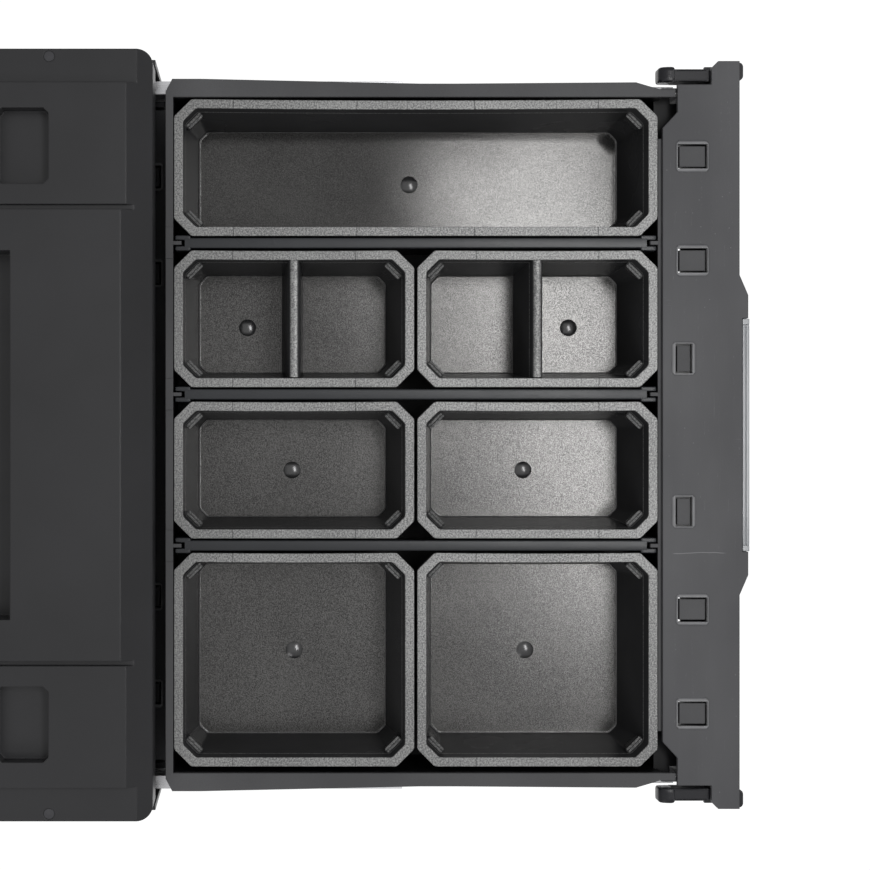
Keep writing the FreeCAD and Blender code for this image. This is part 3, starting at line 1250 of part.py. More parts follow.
# ---- bins and dividers, written out where they stand in the open drawer
front_mid = reach(BIN_FRONT + BIN_LENGTH / 2)
back_mid = reach(BIN_FRONT + BIN_LENGTH + COLUMN_GAP + BIN_LENGTH / 2)
long_mid = reach(BIN_FRONT + ROW_LENGTH / 2)
long_row, split_row, short_row, square_row = row_middles()
GATE_STEP = 28.6
LONG_GATE = (-2.3, -0.7)
SPLIT_GATE = (-2.0, GATE_STEP)
SHORT_GATE = (-1.2, 0.3)
SQUARE_GATE = (-1.2, -1.0)
long_bin = bin_shell(long_row, long_mid, SMALL_BIN_WIDTH, ROW_LENGTH, [LONG_GATE])
save("long_bin", [long_bin], OPEN_SHIFT)
mirrored_gate = (SPLIT_GATE[0], -SPLIT_GATE[1])
split_back = bin_shell(split_row, back_mid, SMALL_BIN_WIDTH, BIN_LENGTH, [SPLIT_GATE], True)
split_front = bin_shell(split_row, front_mid, SMALL_BIN_WIDTH, BIN_LENGTH, [mirrored_gate], True)
save("split_bin_back", [split_back], OPEN_SHIFT)
save("split_bin_front", [split_front], OPEN_SHIFT)
for name, y_mid in (("back", back_mid), ("front", front_mid)):
    short = bin_shell(short_row, y_mid, SMALL_BIN_WIDTH, BIN_LENGTH, [SHORT_GATE])
    save("short_bin_" + name, [short], OPEN_SHIFT)
    square = bin_shell(square_row, y_mid, LARGE_BIN_WIDTH, BIN_LENGTH, [SQUARE_GATE])
    save("square_bin_" + name, [square], OPEN_SHIFT)
for number, x in enumerate(bar_middles()):
    save("row_divider_" + "abc"[number], [row_divider(x)], OPEN_SHIFT)
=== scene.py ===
# %% [markdown]
# # Socket organizer drawer box
#
# This notebook dresses a two-drawer tool box whose upper drawer stands open. The engineering
# model gives every position: metres, Z up, drawers opening toward -Y. Bins, dividers, levers
# and label trays are built here as smooth surfaces that stand for their engineering parts. The
# other parts keep their engineering shape and get worn, grained materials.

# %% load the frame
import json
import math
import bmesh
import bpy
import numpy as np
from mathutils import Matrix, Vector


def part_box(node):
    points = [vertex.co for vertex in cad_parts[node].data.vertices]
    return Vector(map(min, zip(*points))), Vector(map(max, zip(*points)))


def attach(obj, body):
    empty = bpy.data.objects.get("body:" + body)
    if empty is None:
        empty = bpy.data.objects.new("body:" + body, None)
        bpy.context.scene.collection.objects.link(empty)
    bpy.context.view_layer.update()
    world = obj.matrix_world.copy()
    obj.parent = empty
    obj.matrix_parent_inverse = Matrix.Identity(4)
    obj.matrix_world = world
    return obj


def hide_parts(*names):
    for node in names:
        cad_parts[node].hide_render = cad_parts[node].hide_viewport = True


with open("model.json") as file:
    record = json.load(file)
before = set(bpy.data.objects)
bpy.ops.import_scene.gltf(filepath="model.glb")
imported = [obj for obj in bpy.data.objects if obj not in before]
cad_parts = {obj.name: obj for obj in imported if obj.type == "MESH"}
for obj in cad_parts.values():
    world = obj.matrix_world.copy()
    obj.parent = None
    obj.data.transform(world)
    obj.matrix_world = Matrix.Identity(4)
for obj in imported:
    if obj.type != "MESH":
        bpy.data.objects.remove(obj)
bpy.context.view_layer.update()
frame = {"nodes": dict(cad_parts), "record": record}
MM = 0.001

# %% [markdown]
# ## Surfaces from profiles
#
# A bin is one closed surface. Its cross-section is a path of rows, each row holding the half
# width, the half length, the corner cut and the level of one ring. Corners of that path are
# rounded with quadratic curves: a point at parameter u is (1-u)^2 A + 2u(1-u) C + u^2 B, where
# C is the corner and A and B lie a short way along its two edges.


# %% mesh helpers
EDGE_SHARE = 0.45  # the most of an edge that one corner's curve takes
SUPPORT = 0.08  # how far past a curve's end its support row lies, as a share of the curve's size


def quadratic(a, corner, b, u):
    """The point at u on the curve from a to b that leans toward the corner."""
    return (1 - u) ** 2 * a + 2 * u * (1 - u) * corner + u * u * b


def corner_cuts(points, size, axis):
    """Where the curve of each corner of closed polygons starts and ends."""
    before = np.roll(points, 1, axis=axis) - points
    after = np.roll(points, -1, axis=axis) - points
    length_before = np.linalg.norm(before, axis=-1, keepdims=True)
    length_after = np.linalg.norm(after, axis=-1, keepdims=True)
    a = points + before / length_before * np.minimum(size, EDGE_SHARE * length_before)
    b = points + after / length_after * np.minimum(size, EDGE_SHARE * length_after)
    return a, b


def round_path(points, radii, steps=4):
    """A path whose inner corners are curves of the given sizes, with a support row each side."""
    points = np.asarray(points, float)
    rows = [points[0]]
    for i in range(1, len(points) - 1):
        corner = points[i]
        before = points[i - 1] - corner
        after = points[i + 1] - corner
        shortest = min(np.linalg.norm(before), np.linalg.norm(after))
        size = min(radii[i], EDGE_SHARE * shortest)
        a = corner + before / np.linalg.norm(before) * size
        b = corner + after / np.linalg.norm(after) * size
        rows.append(a + (a - corner) * SUPPORT)
        rows += [quadratic(a, corner, b, u) for u in np.linspace(0, 1, steps)]
        rows.append(b + (b - corner) * SUPPORT)
    rows.append(points[-1])
    return np.array(rows)


def octagon_rings(rows, arc=5, between=9):
    """Rings of a rectangle with cut corners: each row is half x, half y, cut, level, bow, turn.

    The eight corners are rounded over the length turn. The bow pulls the middle of the right
    side inward by bow * (1 - (y / half y)^2), as a thin moulded wall does when it cools.
    """
    hx, hy, cut, level, bow, turn = (np.asarray(rows, float)[:, i:i + 1] for i in range(6))
    cx = np.concatenate([hx, hx, hx - cut, cut - hx, -hx, -hx, cut - hx, hx - cut], axis=1)
    cy = np.concatenate([cut - hy, hy - cut, hy, hy, hy - cut, cut - hy, -hy, -hy], axis=1)
    corner = np.stack([cx, cy], axis=2)
    a, b = corner_cuts(corner, turn[:, :, None], 1)
    u = np.linspace(0, 1, arc)[None, None, :, None]
    curve = quadratic(a[:, :, None], corner[:, :, None], b[:, :, None], u)
    v = np.linspace(0, 1, between + 2)[1:-1][None, None, :, None]
    straight = b[:, :, None] * (1 - v) + np.roll(a, -1, axis=1)[:, :, None] * v
    ring = np.concatenate([curve, straight], axis=2).reshape(len(rows), -1, 2)
    x, y = ring[:, :, 0], ring[:, :, 1]
    pull = np.clip(x / hx, 0, 1) * bow * (1 - (y / hy) ** 2)
    return np.stack([x - pull, y, np.broadcast_to(level, x.shape)], axis=2)


def block_rings(rows, power=6.0, around=40):
    """Rings of a rounded block: each row is middle x, middle y, half x, half y, level.

    A ring is the curve |x / half x|^power + |y / half y|^power = 1, whose point at angle t is
    half x * |cos t|^(2 / power) and half y * |sin t|^(2 / power), with the signs of cos t and
    sin t.
    """
    mx, my, hx, hy, level = (np.asarray(rows, float)[:, i:i + 1] for i in range(5))
    turn = np.linspace(0, 2 * math.pi, around + 1)[None, :-1]
    x = mx + hx * np.sign(np.cos(turn)) * np.abs(np.cos(turn)) ** (2 / power)
    y = my + hy * np.sign(np.sin(turn)) * np.abs(np.sin(turn)) ** (2 / power)
    return np.stack([x, y, np.broadcast_to(level, x.shape)], axis=2)


def soft_block(x_span, y_span, z_span, edge, power=6.0):
    """A closed block between three pairs of limits, its top and bottom edges rounded by edge.

    Its rings follow a quarter circle: at angle t they are inset by edge * (1 - sin t) and lie
    edge * (1 - cos t) from the end. Its corners seen from above come from the power.
    """
    mx, my = sum(x_span) / 2, sum(y_span) / 2
    hx, hy = (x_span[1] - x_span[0]) / 2, (y_span[1] - y_span[0]) / 2
    turn = np.linspace(0, math.pi / 2, 5)
    inset, drop = edge * (1 - np.sin(turn)), edge * (1 - np.cos(turn))
    rows = [(mx, my, hx * 0.5, hy * 0.5, z_span[0])]
    rows += [(mx, my, hx - i, hy - i, z_span[0] + d) for i, d in zip(inset, drop)]
    rows += [(mx, my, hx - i, hy - i, z_span[1] - d) for i, d in zip(inset[::-1], drop[::-1])]
    rows += [(mx, my, hx * 0.5, hy * 0.5, z_span[1])]
    return grid_mesh(block_rings(rows, power))


def turned(data, angle, middle):
    """A piece of mesh turned about Z by an angle and moved to a middle."""
    vertices, faces = data
    c, s = math.cos(angle), math.sin(angle)
    return vertices @ np.array([[c, s, 0], [-s, c, 0], [0, 0, 1]]) + np.asarray(middle), faces


def grid_mesh(rings, cap_ends=True):
    """Vertices and faces of rings joined one to the next, closed by a fan at each end."""
    count, around, _ = rings.shape
    vertices = rings.reshape(-1, 3)
    i, j = np.meshgrid(np.arange(count - 1), np.arange(around), indexing="ij")
    k = (j + 1) % around
    this, after = i * around, (i + 1) * around
    quads = np.stack([this + j, this + k, after + k, after + j], axis=2)
    faces = [tuple(face) for face in quads.reshape(-1, 4).tolist()]
    if cap_ends:
        middle = [rings[0].mean(axis=0), rings[-1].mean(axis=0)]
        vertices = np.concatenate([vertices, middle])
        base = count * around
        for j0 in range(around):
            j1 = (j0 + 1) % around
            faces.append((base, j1, j0))
            top = (count - 1) * around
            faces.append((base + 1, top + j0, top + j1))
    return vertices, faces


def prism_mesh(points, axis, low, high):
    """Vertices and faces of a polygon carried straight along x, y or z."""
    points = np.asarray(points, float)
    order = {"x": (2, 0, 1), "y": (0, 2, 1), "z": (0, 1, 2)}[axis]
    ends = []
    for level in (low, high):
        stacked = np.column_stack([points, np.full(len(points), level)])
        ends.append(stacked[:, order])
    n = len(points)
    faces = [tuple(range(n)), tuple(range(2 * n - 1, n - 1, -1))]
    faces += [(i, n + i, n + (i + 1) % n, (i + 1) % n) for i in range(n)]
    return np.concatenate(ends), faces


def merge(parts):
    """Several (vertices, faces) pairs as one."""
    vertices, faces, start = [], [], 0
    for part_vertices, part_faces in parts:
        vertices.append(part_vertices)
        faces += [tuple(int(i) + start for i in face) for face in part_faces]
        start += len(part_vertices)
    return np.concatenate(vertices), faces


def piece(name, data, body, material, stands_for=(), smooth=40, bevel=0.0):
    """A scene object from vertices and faces, outward facing, riding on its body."""
    vertices, faces = data
    mesh = bpy.data.meshes.new(name)
    mesh.from_pydata([tuple(v) for v in np.asarray(vertices).tolist()], [], faces)
    working = bmesh.new()
    working.from_mesh(mesh)
    bmesh.ops.remove_doubles(working, verts=working.verts, dist=1e-7)
    bmesh.ops.recalc_face_normals(working, faces=working.faces)
    working.to_mesh(mesh)
    working.free()
    mesh.polygons.foreach_set("use_smooth", [True] * len(mesh.polygons))
    mesh.set_sharp_from_angle(angle=math.radians(smooth))
    obj = bpy.data.objects.new(name, mesh)
    bpy.context.scene.collection.objects.link(obj)
    if bevel:
        rounding = obj.modifiers.new("rounding", "BEVEL")
        rounding.width = bevel
        rounding.segments = 3
        rounding.limit_method = "ANGLE"
        rounding.angle_limit = math.radians(30)
        rounding.harden_normals = True
    mesh.materials.append(material)
    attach(obj, body)
    if stands_for:
        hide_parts(*stands_for)
    print(f"{name}: {len(mesh.vertices)} vertices, {len(mesh.polygons)} faces")
    return obj

# %% [markdown]
# ## Shader arithmetic
#
# `Value` wraps one output socket, so that a formula can be written as one. Adding, multiplying
# and so on each make one Math node. `Shader.node` makes any other node.


# %% shader helpers
class Value:
    """One socket of a node tree, with arithmetic."""

    def __init__(self, shader, socket):
        self.shader = shader
        self.socket = socket

    def _math(self, operation, *others):
        node = self.shader.tree.nodes.new("ShaderNodeMath")
        node.operation = operation
        for index, value in enumerate((self, *others)):
            self.shader.feed(node.inputs[index], value)
        return Value(self.shader, node.outputs[0])

    def __add__(self, other):
        return self._math("ADD", other)

    def __sub__(self, other):
        return self._math("SUBTRACT", other)

    def __mul__(self, other):
        return self._math("MULTIPLY", other)

    def __abs__(self):
        return self._math("ABSOLUTE")

    def power(self, exponent):
        return self._math("POWER", exponent)

    def _ramp(self, edge, width, first, last):
        """The first number below the edge, the last a width above it, smooth between."""
        limits = {"From Min": edge, "From Max": edge + width, "To Min": first, "To Max": last}
        node = self.shader.node("ShaderNodeMapRange", {"Value": self, **limits},
                                interpolation_type="SMOOTHSTEP")
        return node["Result"]

    def above(self, edge, width):
        """0 below the edge, 1 a width above it, smooth between."""
        return self._ramp(edge, width, 0.0, 1.0)

    def below(self, edge, width):
        """1 below the edge, 0 a width above it, smooth between."""
        return self._ramp(edge, width, 1.0, 0.0)


class Shader:
    """A material with one Principled shader and a few ways to drive it."""

    def __init__(self, name):
        self.material = bpy.data.materials.new(name)
        self.material.use_nodes = True
        self.tree = self.material.node_tree
        self.surface = self.tree.nodes["Principled BSDF"]
        coordinates = self.tree.nodes.new("ShaderNodeTexCoord")
        self.place = Value(self, coordinates.outputs["Object"])

    def feed(self, socket, value):
        """Connect a Value, or set a constant."""
        if isinstance(value, Value):
            self.tree.links.new(value.socket, socket)
        else:
            socket.default_value = value

    def node(self, kind, inputs=None, **settings):
        """Any node: its inputs by name or number, its settings by name; gives its outputs."""
        made = self.tree.nodes.new(kind)
        for key, value in settings.items():
            setattr(made, key, value)
        for key, value in (inputs or {}).items():
            self.feed(made.inputs[key], value)
        return {output.name: Value(self, output) for output in made.outputs}

    def set(self, **constants):
        """Constants of the Principled shader, with _ for the spaces in their names."""
        for key, value in constants.items():
            self.surface.inputs[key.replace("_", " ")].default_value = value
        return self

    def drive(self, name, value):
        """Feed a varying value to a socket of the Principled shader."""
        self.feed(self.surface.inputs[name], value)
        return self

    def axes(self):
        """The X, Y and Z of the point."""
        split = self.node("ShaderNodeSeparateXYZ", {0: self.place})
        return split["X"], split["Y"], split["Z"]

    def noise(self, scale, detail=3.0, roughness=0.5, stretch=(1.0, 1.0, 1.0)):
        """Smooth random values around 0.5, with features of about 1 / scale metres."""
        moved = self.node("ShaderNodeMapping", {"Vector": self.place, "Scale": stretch})
        inputs = {"Vector": moved["Vector"], "Scale": scale, "Detail": detail,
                  "Roughness": roughness}
        return self.node("ShaderNodeTexNoise", inputs)["Fac"]

    def clamp(self, value):
        """The value held between 0 and 1."""
        return self.node("ShaderNodeClamp", {"Value": value})["Result"]

    def specks(self, scale, size):
        """1 inside small scattered dots, 0 outside."""
        cells = self.node("ShaderNodeTexVoronoi", {"Vector": self.place, "Scale": scale})
        return cells["Distance"].below(size, size * 0.6)

    def mix(self, factor, first, second):
        """A colour between two colour values, by a factor from 0 to 1."""
        self.node("ShaderNodeMix", {0: factor, 6: first, 7: second}, data_type="RGBA")
        return Value(self, self.tree.nodes[-1].outputs[2])

    def colours(self, factor, first, second):
        """A colour between two constant ones, by a factor from 0 to 1."""
        return self.mix(factor, (*first, 1.0), (*second, 1.0))

    def relief(self, height, strength, distance, edge=0.0):
        """Bump from a height field, over normals rounded at edges by the radius edge."""
        inputs = {"Height": height, "Strength": strength, "Distance": distance}
        if edge:
            inputs["Normal"] = self.node("ShaderNodeBevel", {"Radius": edge}, samples=4)["Normal"]
        bump = self.node("ShaderNodeBump", inputs)
        self.drive("Normal", bump["Normal"])
        return self


# %% [markdown]
# ## Materials
#
# Dark moulded plastic is not one flat colour. Its steel mould is spark-eroded, which gives every
# part a fine grain, and the melt leaves faint clouds. Use adds pale rubbed rims on the bins, dust
# and hair scratches. Each finish mixes those from noise, whose scale is given as features per
# metre, and from the height of the point, because a rim is rubbed and a floor isn't. Height also
# places painted light and shade: a painted highlight on the covers' tab frames and along the
# bins' floor edges, and painted shade over the drawers below their flanges.

# %% levels and scales
WALL = 1.8 * MM
bin_low, bin_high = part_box("long_bin")
RIM_Z = bin_high.z
FLOOR_Z = bin_low.z + WALL
RIM_LEVEL = 0.210
LOWER_RIM_LEVEL = 0.125
GRAIN = 2600.0
GRAIN_DEPTH = 0.12 * MM
BROAD = 30.0
print("levels, mm: bin floor", round(FLOOR_Z / MM, 1), "bin rim", round(RIM_Z / MM, 1))


# %% plain plastics
def moulded(name, dark, light, rough, grain=0.25, edge=0.6 * MM, gloss=0.3):
    """Textured plastic: cloudy tone, a fine grain, and edges rounded by the radius edge."""
    shader = Shader(name)
    shader.set(Specular_IOR_Level=gloss)
    tone = shader.noise(9.0, 4.0)
    fine = shader.noise(GRAIN, 2.0)
    factor = shader.clamp((tone - 0.35) * 1.4 + (fine - 0.5) * 0.5)
    shader.drive("Base Color", shader.colours(factor, dark, light))
    shader.drive("Roughness", (shader.noise(BROAD, 3.0) - 0.5) * 0.16 + rough)
    shader.relief(fine, grain, GRAIN_DEPTH, edge)
    return shader.material


def tub_plastic(name, dark, light):
    """The tubs: each flange along a rim in its own plastic tone, all below it painted nearly black
    as painted shade.
    """
    shader = Shader(name)
    shader.set(Specular_IOR_Level=0.1)
    z = shader.axes()[2]
    fine = shader.noise(GRAIN, 2.0)
    flange = 6.5 * MM
    lower = z.above(LOWER_RIM_LEVEL - flange, 3 * MM) * z.below(LOWER_RIM_LEVEL + 2 * MM, MM)
    top = shader.clamp(z.above(RIM_LEVEL - flange, 3 * MM) + lower)
    tone = shader.clamp((shader.noise(9.0, 4.0) - 0.35) * 1.4 + (fine - 0.5) * 0.6)
    # Painted shade: everything below the flanges, inside and out, is painted nearly black, the
    # shade of the drawer's depths.
    deep = shader.colours(tone, (0.004, 0.004, 0.0045), (0.010, 0.010, 0.011))
    shader.drive("Base Color", shader.mix(top, deep, shader.colours(tone, dark, light)))
    shader.drive("Roughness", (shader.noise(BROAD, 3.0) - 0.5) * 0.16 + top * 0.08 + 0.4)
    shader.relief(fine, 0.25, GRAIN_DEPTH, 0.6 * MM)
    return shader.material


# %% [markdown]
# ### Covers
#
# A cover takes the knocks of daily use. Its scratches are thin bands where a stretched noise
# field crosses its middle value, which gives long and slightly curved lines. Dust is scattered
# dots, kept to patches by a second field. The raised frames of the tabs are painted pale, a
# painted highlight where their bevels catch the light.


# %% covers
def hair_scratches(shader):
    """1 along thin curved lines: where a stretched noise field passes its middle value."""
    lines = 0.0
    for stretch in ((90.0, 2.2, 1.0), (2.6, 70.0, 1.0), (40.0, 55.0, 1.0)):
        field = shader.noise(9.0, 2.0, stretch=stretch)
        where = shader.noise(14.0, 2.0, stretch=stretch[::-1]).above(0.60, 0.1)
        lines = abs(field - 0.5).below(0.0025, 0.004) * where + lines
    return lines


def long_scratch(shader, x, y):
    """1 along one wandering scratch across the open drawer's cover."""
    middle, start, end = -71.2 * MM, -514 * MM, -482.5 * MM
    wander = (shader.noise(55.0, 2.0) - 0.5) * 2.2 * MM
    line = abs(x + wander - middle).below(0.12 * MM, 0.2 * MM)
    return line * y.below(end, 2 * MM) * y.above(start, 4 * MM)


def cover_plastic(name, dark, light, marks_and_highlight_tone):
    """The covers: moulded plastic with specks of dust, hair scratches and a painted highlight on
    the raised frames.
    """
    shader = Shader(name)
    shader.set(Specular_IOR_Level=0.12)
    x, y, z = shader.axes()
    fine = shader.noise(GRAIN, 2.0)
    streaks = shader.noise(18.0, 4.0, stretch=(0.25, 1.0, 1.0))
    cloud = shader.noise(7.0, 4.0)
    tone = shader.clamp((cloud - 0.4) * 0.9 + (streaks - 0.45) * 0.9 + (fine - 0.5) * 0.4)
    pale = (*marks_and_highlight_tone, 1.0)
    dust = shader.specks(230.0, 0.055) * shader.noise(26.0, 2.0).above(0.52, 0.1)
    hairs = hair_scratches(shader) * 0.30
    marks = shader.clamp(hairs + long_scratch(shader, x, y) * 0.55 + dust * 0.45)
    base = shader.mix(marks, shader.colours(tone, dark, light), pale)
    step, soft = 0.1 * MM, 0.5 * MM
    lower = z.above(LOWER_RIM_LEVEL + step, soft) * z.below(LOWER_RIM_LEVEL + 2 * MM, soft)
    raised = shader.clamp(z.above(RIM_LEVEL + step, soft) + lower)
    # Painted highlight: the raised tab frames are painted pale, broken up by noise, where their
    # bevels catch the light.
    painted_frame_highlight = shader.clamp(raised * ((shader.noise(120.0, 3.0) - 0.5) * 0.6 + 0.75))
    shader.drive("Base Color", shader.mix(painted_frame_highlight, base, pale))
    shader.drive("Roughness", (shader.noise(BROAD, 3.0) - 0.5) * 0.14 + marks * 0.1 + 0.47)
    shader.relief(fine + marks * 0.6, 0.3, GRAIN_DEPTH, 0.9 * MM)
    return shader.material


# %% [markdown]
# ### Bin plastic
#
# A bin's floor is moulded against a grained steel face and sparkles a little, so here it is part
# metallic and fairly smooth: that is what lets it mirror a soft box as a pale field. The rim is
# pebbled and rubbed paler, and the walls are plain and nearly black.


# %% bin plastics
def grey(level):
    """A neutral colour."""
    return (level, level, level)


def bin_plastic(name, middle, lines, polish):
    """One bin: smooth near-black walls, a sparkling grained floor and a pebbled rim.

    The lines are hairline gaps across the rim's long sides, as distances from the middle, and
    polish is how much smoother and evener than usual the floor is. Floor, rim, ledge and groove
    are masks: 1 on that part of the bin and 0 elsewhere. One more mask marks the band just above
    the floor, which is painted pale as a painted highlight of the fillet between floor and wall.
    """
    shader = Shader(name)
    shader.set(Specular_IOR_Level=0.02)
    x, y, z = shader.axes()
    fine = shader.noise(1500.0, 3.0, 0.8)
    cloud = shader.noise(14.0, 3.0)
    sparkle = shader.noise(3300.0, 1.0)
    pebbles = shader.noise(1000.0, 3.0, 0.8)
    floor = z.below(FLOOR_Z + 0.3 * MM, 0.6 * MM)
    painted_fillet_highlight = z.above(FLOOR_Z + 0.1 * MM, 0.2 * MM) * z.below(FLOOR_Z + 0.9 * MM, 0.3 * MM)
    rim = z.above(RIM_Z - 1.0 * MM, 0.8 * MM)
    ledge = z.above(RIM_Z - 10.0 * MM, 0.3 * MM) * z.below(RIM_Z - 8.8 * MM, 0.3 * MM)
    across = 0.0
    for distance in lines:
        across = abs(abs(y - middle.y) - distance).below(0.13 * MM, 0.12 * MM) + across
    groove = shader.clamp(across) * rim
    wall_tone = shader.clamp((cloud - 0.4) * 1.4)
    grain_tone = (fine - 0.5) * (5.0 - polish * 25.0) + (cloud - 0.5) * 0.5
    rim_tone = shader.clamp((pebbles - 0.42) * 5.5 + (cloud - 0.5) * 0.8)
    dark = shader.colours(wall_tone, (0.028, 0.028, 0.029), (0.052, 0.052, 0.054))
    grained = shader.colours(shader.clamp(grain_tone + 0.5 - polish * 2.0),
                             (0.022, 0.0218, 0.0214), (0.094, 0.0926, 0.0906))
    rubbed = shader.colours(rim_tone, grey(0.086), (0.254, 0.254, 0.250))
    colour = shader.mix(floor, dark, grained)
    colour = shader.mix(shader.clamp(rim * 0.95 + ledge * 0.7), colour, rubbed)
    # Painted highlight: a pale band just above the floor, where the fillet between floor and wall
    # catches the light.
    colour = shader.mix(painted_fillet_highlight * 0.8, colour, shader.colours(fine, grey(0.26), grey(0.46)))
    shader.drive("Base Color", shader.mix(groove * 0.8, colour, dark))
    away = ((x - middle.x).power(2.0) + (y - middle.y).power(2.0)).power(0.5)
    rough = floor * (-0.07 - polish) + rim * 0.12 + (cloud - 0.5) * 0.05 + away * 0.1
    shader.drive("Roughness", rough + 0.26)
    shader.drive("Metallic", floor * (sparkle.above(0.42, 0.16) * 0.3 + 0.42) + rim * 0.3)
    relief = fine * (floor * (0.5 - polish * 4.0) + rim * 0.8 + 0.05)
    shader.relief(relief + sparkle * floor * 0.2 - groove * 2.0, 0.4, 0.14 * MM)
    return shader.material


def moulding_mark(name):
    """The glossy round mark on a bin's floor, darker than the grain around it."""
    shader = Shader(name)
    cloud = shader.noise(160.0, 3.0)
    shader.drive("Base Color", shader.colours(cloud, (0.008, 0.008, 0.009), grey(0.022)))
    shader.drive("Roughness", cloud * 0.15 + 0.14)
    shader.relief(shader.noise(900.0, 2.0), 0.1, 0.05 * MM)
    return shader.material


# %% [markdown]
# ### Steel, clear plastic and card
#
# Slides are rolled from bright strip, so the fine lines of their steel run along the rail. Screws
# and pins have no such direction. The label cover is slightly hazed and the card is blank.


# %% steel, clear plastic and card
def steel(name, colour, rough, stretch=(1.0, 1.0, 1.0)):
    """Rolled or drawn steel, with fine lines along its length and faint stains."""
    shader = Shader(name)
    lines = shader.noise(260.0, 4.0, stretch=stretch)
    stain = shader.noise(22.0, 4.0)
    pale = tuple(min(1.0, c * 1.15) for c in colour)
    tone = (lines - 0.35) * 1.2 + (stain - 0.5) * 0.6
    shader.drive("Base Color", shader.colours(tone, tuple(c * 0.78 for c in colour), pale))
    shader.set(Metallic=1.0)
    shader.drive("Roughness", (lines - 0.5) * 0.2 + (stain - 0.5) * 0.15 + rough)
    shader.relief(lines, 0.15, 0.05 * MM, 0.3 * MM)
    return shader.material


def clear_plastic(name):
    """Clear label cover, with a faint haze and scuffs."""
    shader = Shader(name)
    haze = shader.noise(60.0, 4.0) * 0.3 + 0.35
    shader.drive("Base Color", shader.colours(haze, (0.26, 0.27, 0.28), (0.40, 0.41, 0.43)))
    shader.set(IOR=1.49, Transmission_Weight=0.35)
    shader.drive("Roughness", (haze - 0.3) * 0.25 + 0.25)
    shader.relief(shader.noise(300.0, 2.0), 0.1, 0.1 * MM, 0.3 * MM)
    return shader.material


def card_stock(name):
    """Blank label card with a faint fibre."""
    shader = Shader(name)
    fibre = shader.noise(900.0, 4.0, 0.7)
    shader.drive("Base Color", shader.colours(fibre, (0.70, 0.70, 0.69), (0.84, 0.84, 0.83)))
    shader.set(Roughness=0.85)
    shader.relief(fibre, 0.2, 0.08 * MM)
    return shader.material


# %% [markdown]
# ### Materials of the carried-over parts
#
# Each material slot of the engineering model gets one finish. The casing screws are blackened,
# because bright heads would draw the eye on a dark lid.


# %% materials of the carried-over parts
def plastic_pair(dark, light, **settings):
    """Settings of a moulded plastic, from its darkest and its lightest tone."""
    return {"dark": dark, "light": light, **settings}


PLASTICS = {
    "casing": plastic_pair((0.012, 0.012, 0.013), (0.024, 0.024, 0.026), rough=0.36, grain=0.22,
                           edge=1.2 * MM, gloss=0.22),
    "latch": plastic_pair((0.006, 0.006, 0.008), (0.015, 0.015, 0.018), rough=0.33, grain=0.12,
                          edge=0.0, gloss=0.18),
    "bin": plastic_pair((0.010, 0.010, 0.011), (0.022, 0.022, 0.024), rough=0.30),
    "divider": plastic_pair((0.018, 0.019, 0.021), (0.036, 0.038, 0.042), rough=0.30, grain=0.12,
                            edge=0.0, gloss=0.16),
    "handle": plastic_pair((0.016, 0.016, 0.018), (0.045, 0.046, 0.050), rough=0.45,
                           edge=1.2 * MM),
    "glide": plastic_pair((0.55, 0.55, 0.52), (0.72, 0.72, 0.69), rough=0.40, grain=0.1,
                          edge=0.3 * MM),
}
MATERIALS = {look: moulded(look + " plastic", **settings) for look, settings in PLASTICS.items()}
MATERIALS.update({
    "rubber": moulded("grip rubber", (0.010, 0.010, 0.011), (0.026, 0.026, 0.028), 0.75, 0.6),
    "drawer": tub_plastic("drawer plastic", (0.056, 0.056, 0.058), (0.104, 0.104, 0.107)),
    "cover": cover_plastic("cover plastic", (0.060, 0.060, 0.063), (0.122, 0.122, 0.126),
                           (0.24, 0.24, 0.245)),
    "slide": steel("slide steel", (0.38, 0.38, 0.39), 0.28, (1.0, 0.04, 1.0)),
    "fastener": steel("fastener steel", (0.50, 0.50, 0.51), 0.32),
    "dark_steel": steel("blackened steel", (0.045, 0.045, 0.048), 0.38),
    "spring": steel("spring steel", (0.42, 0.42, 0.44), 0.30, (1.0, 1.0, 0.2)),
    "window": clear_plastic("clear plastic"),
    "card": card_stock("label card"),
})
SLOT_LOOK = {
    "casing_plastic": "casing", "drawer_plastic": "drawer", "cover_plastic": "cover",
    "latch_plastic": "latch", "bin_plastic": "bin", "divider_plastic": "divider",
    "handle_plastic": "handle", "grip_rubber": "rubber", "foot_rubber": "rubber",
    "glide_plastic": "glide", "fastener_steel": "fastener", "slide_steel": "slide",
    "pin_steel": "fastener", "spring_steel": "spring", "clear_plastic": "window",
    "label_card": "card",
}
for row in frame["record"]["subparts"]:
    carried = frame["nodes"][row["node"]]
    carried.data.materials.clear()
    look = "dark_steel" if row["node"] == "case_screws" else SLOT_LOOK[row["material_slot"]]
    carried.data.materials.append(MATERIALS[look])
print("materials:", len(MATERIALS), "on", len(frame["nodes"]), "carried-over nodes")

# %% [markdown]
# ## Bins
#
# A bin is moulded in one shot, so its walls slope to let it leave the mould. The ring path
# starts under the floor, climbs the outside, turns out under the rim, goes down and up the
# skirt, crosses the rim, drops down the sloping inner wall and ends on the floor. Corner
# ledges, moulding marks and the fold of the split bins are closed shapes of their own.

# %% bin surface
RIM_WIDTH = 5.5 * MM
SIDE_DRAFT = 5.1 * MM
END_DRAFT = 7.9 * MM
OUTER_CUT = 10.5 * MM
INNER_CUT = 7.8 * MM
FLOOR_CUT = 5.0 * MM
SKIRT = 6.9 * MM
LIP = 1.6 * MM
RIM_THICKNESS = 2.0 * MM
CENTRE_SHARE = 0.3


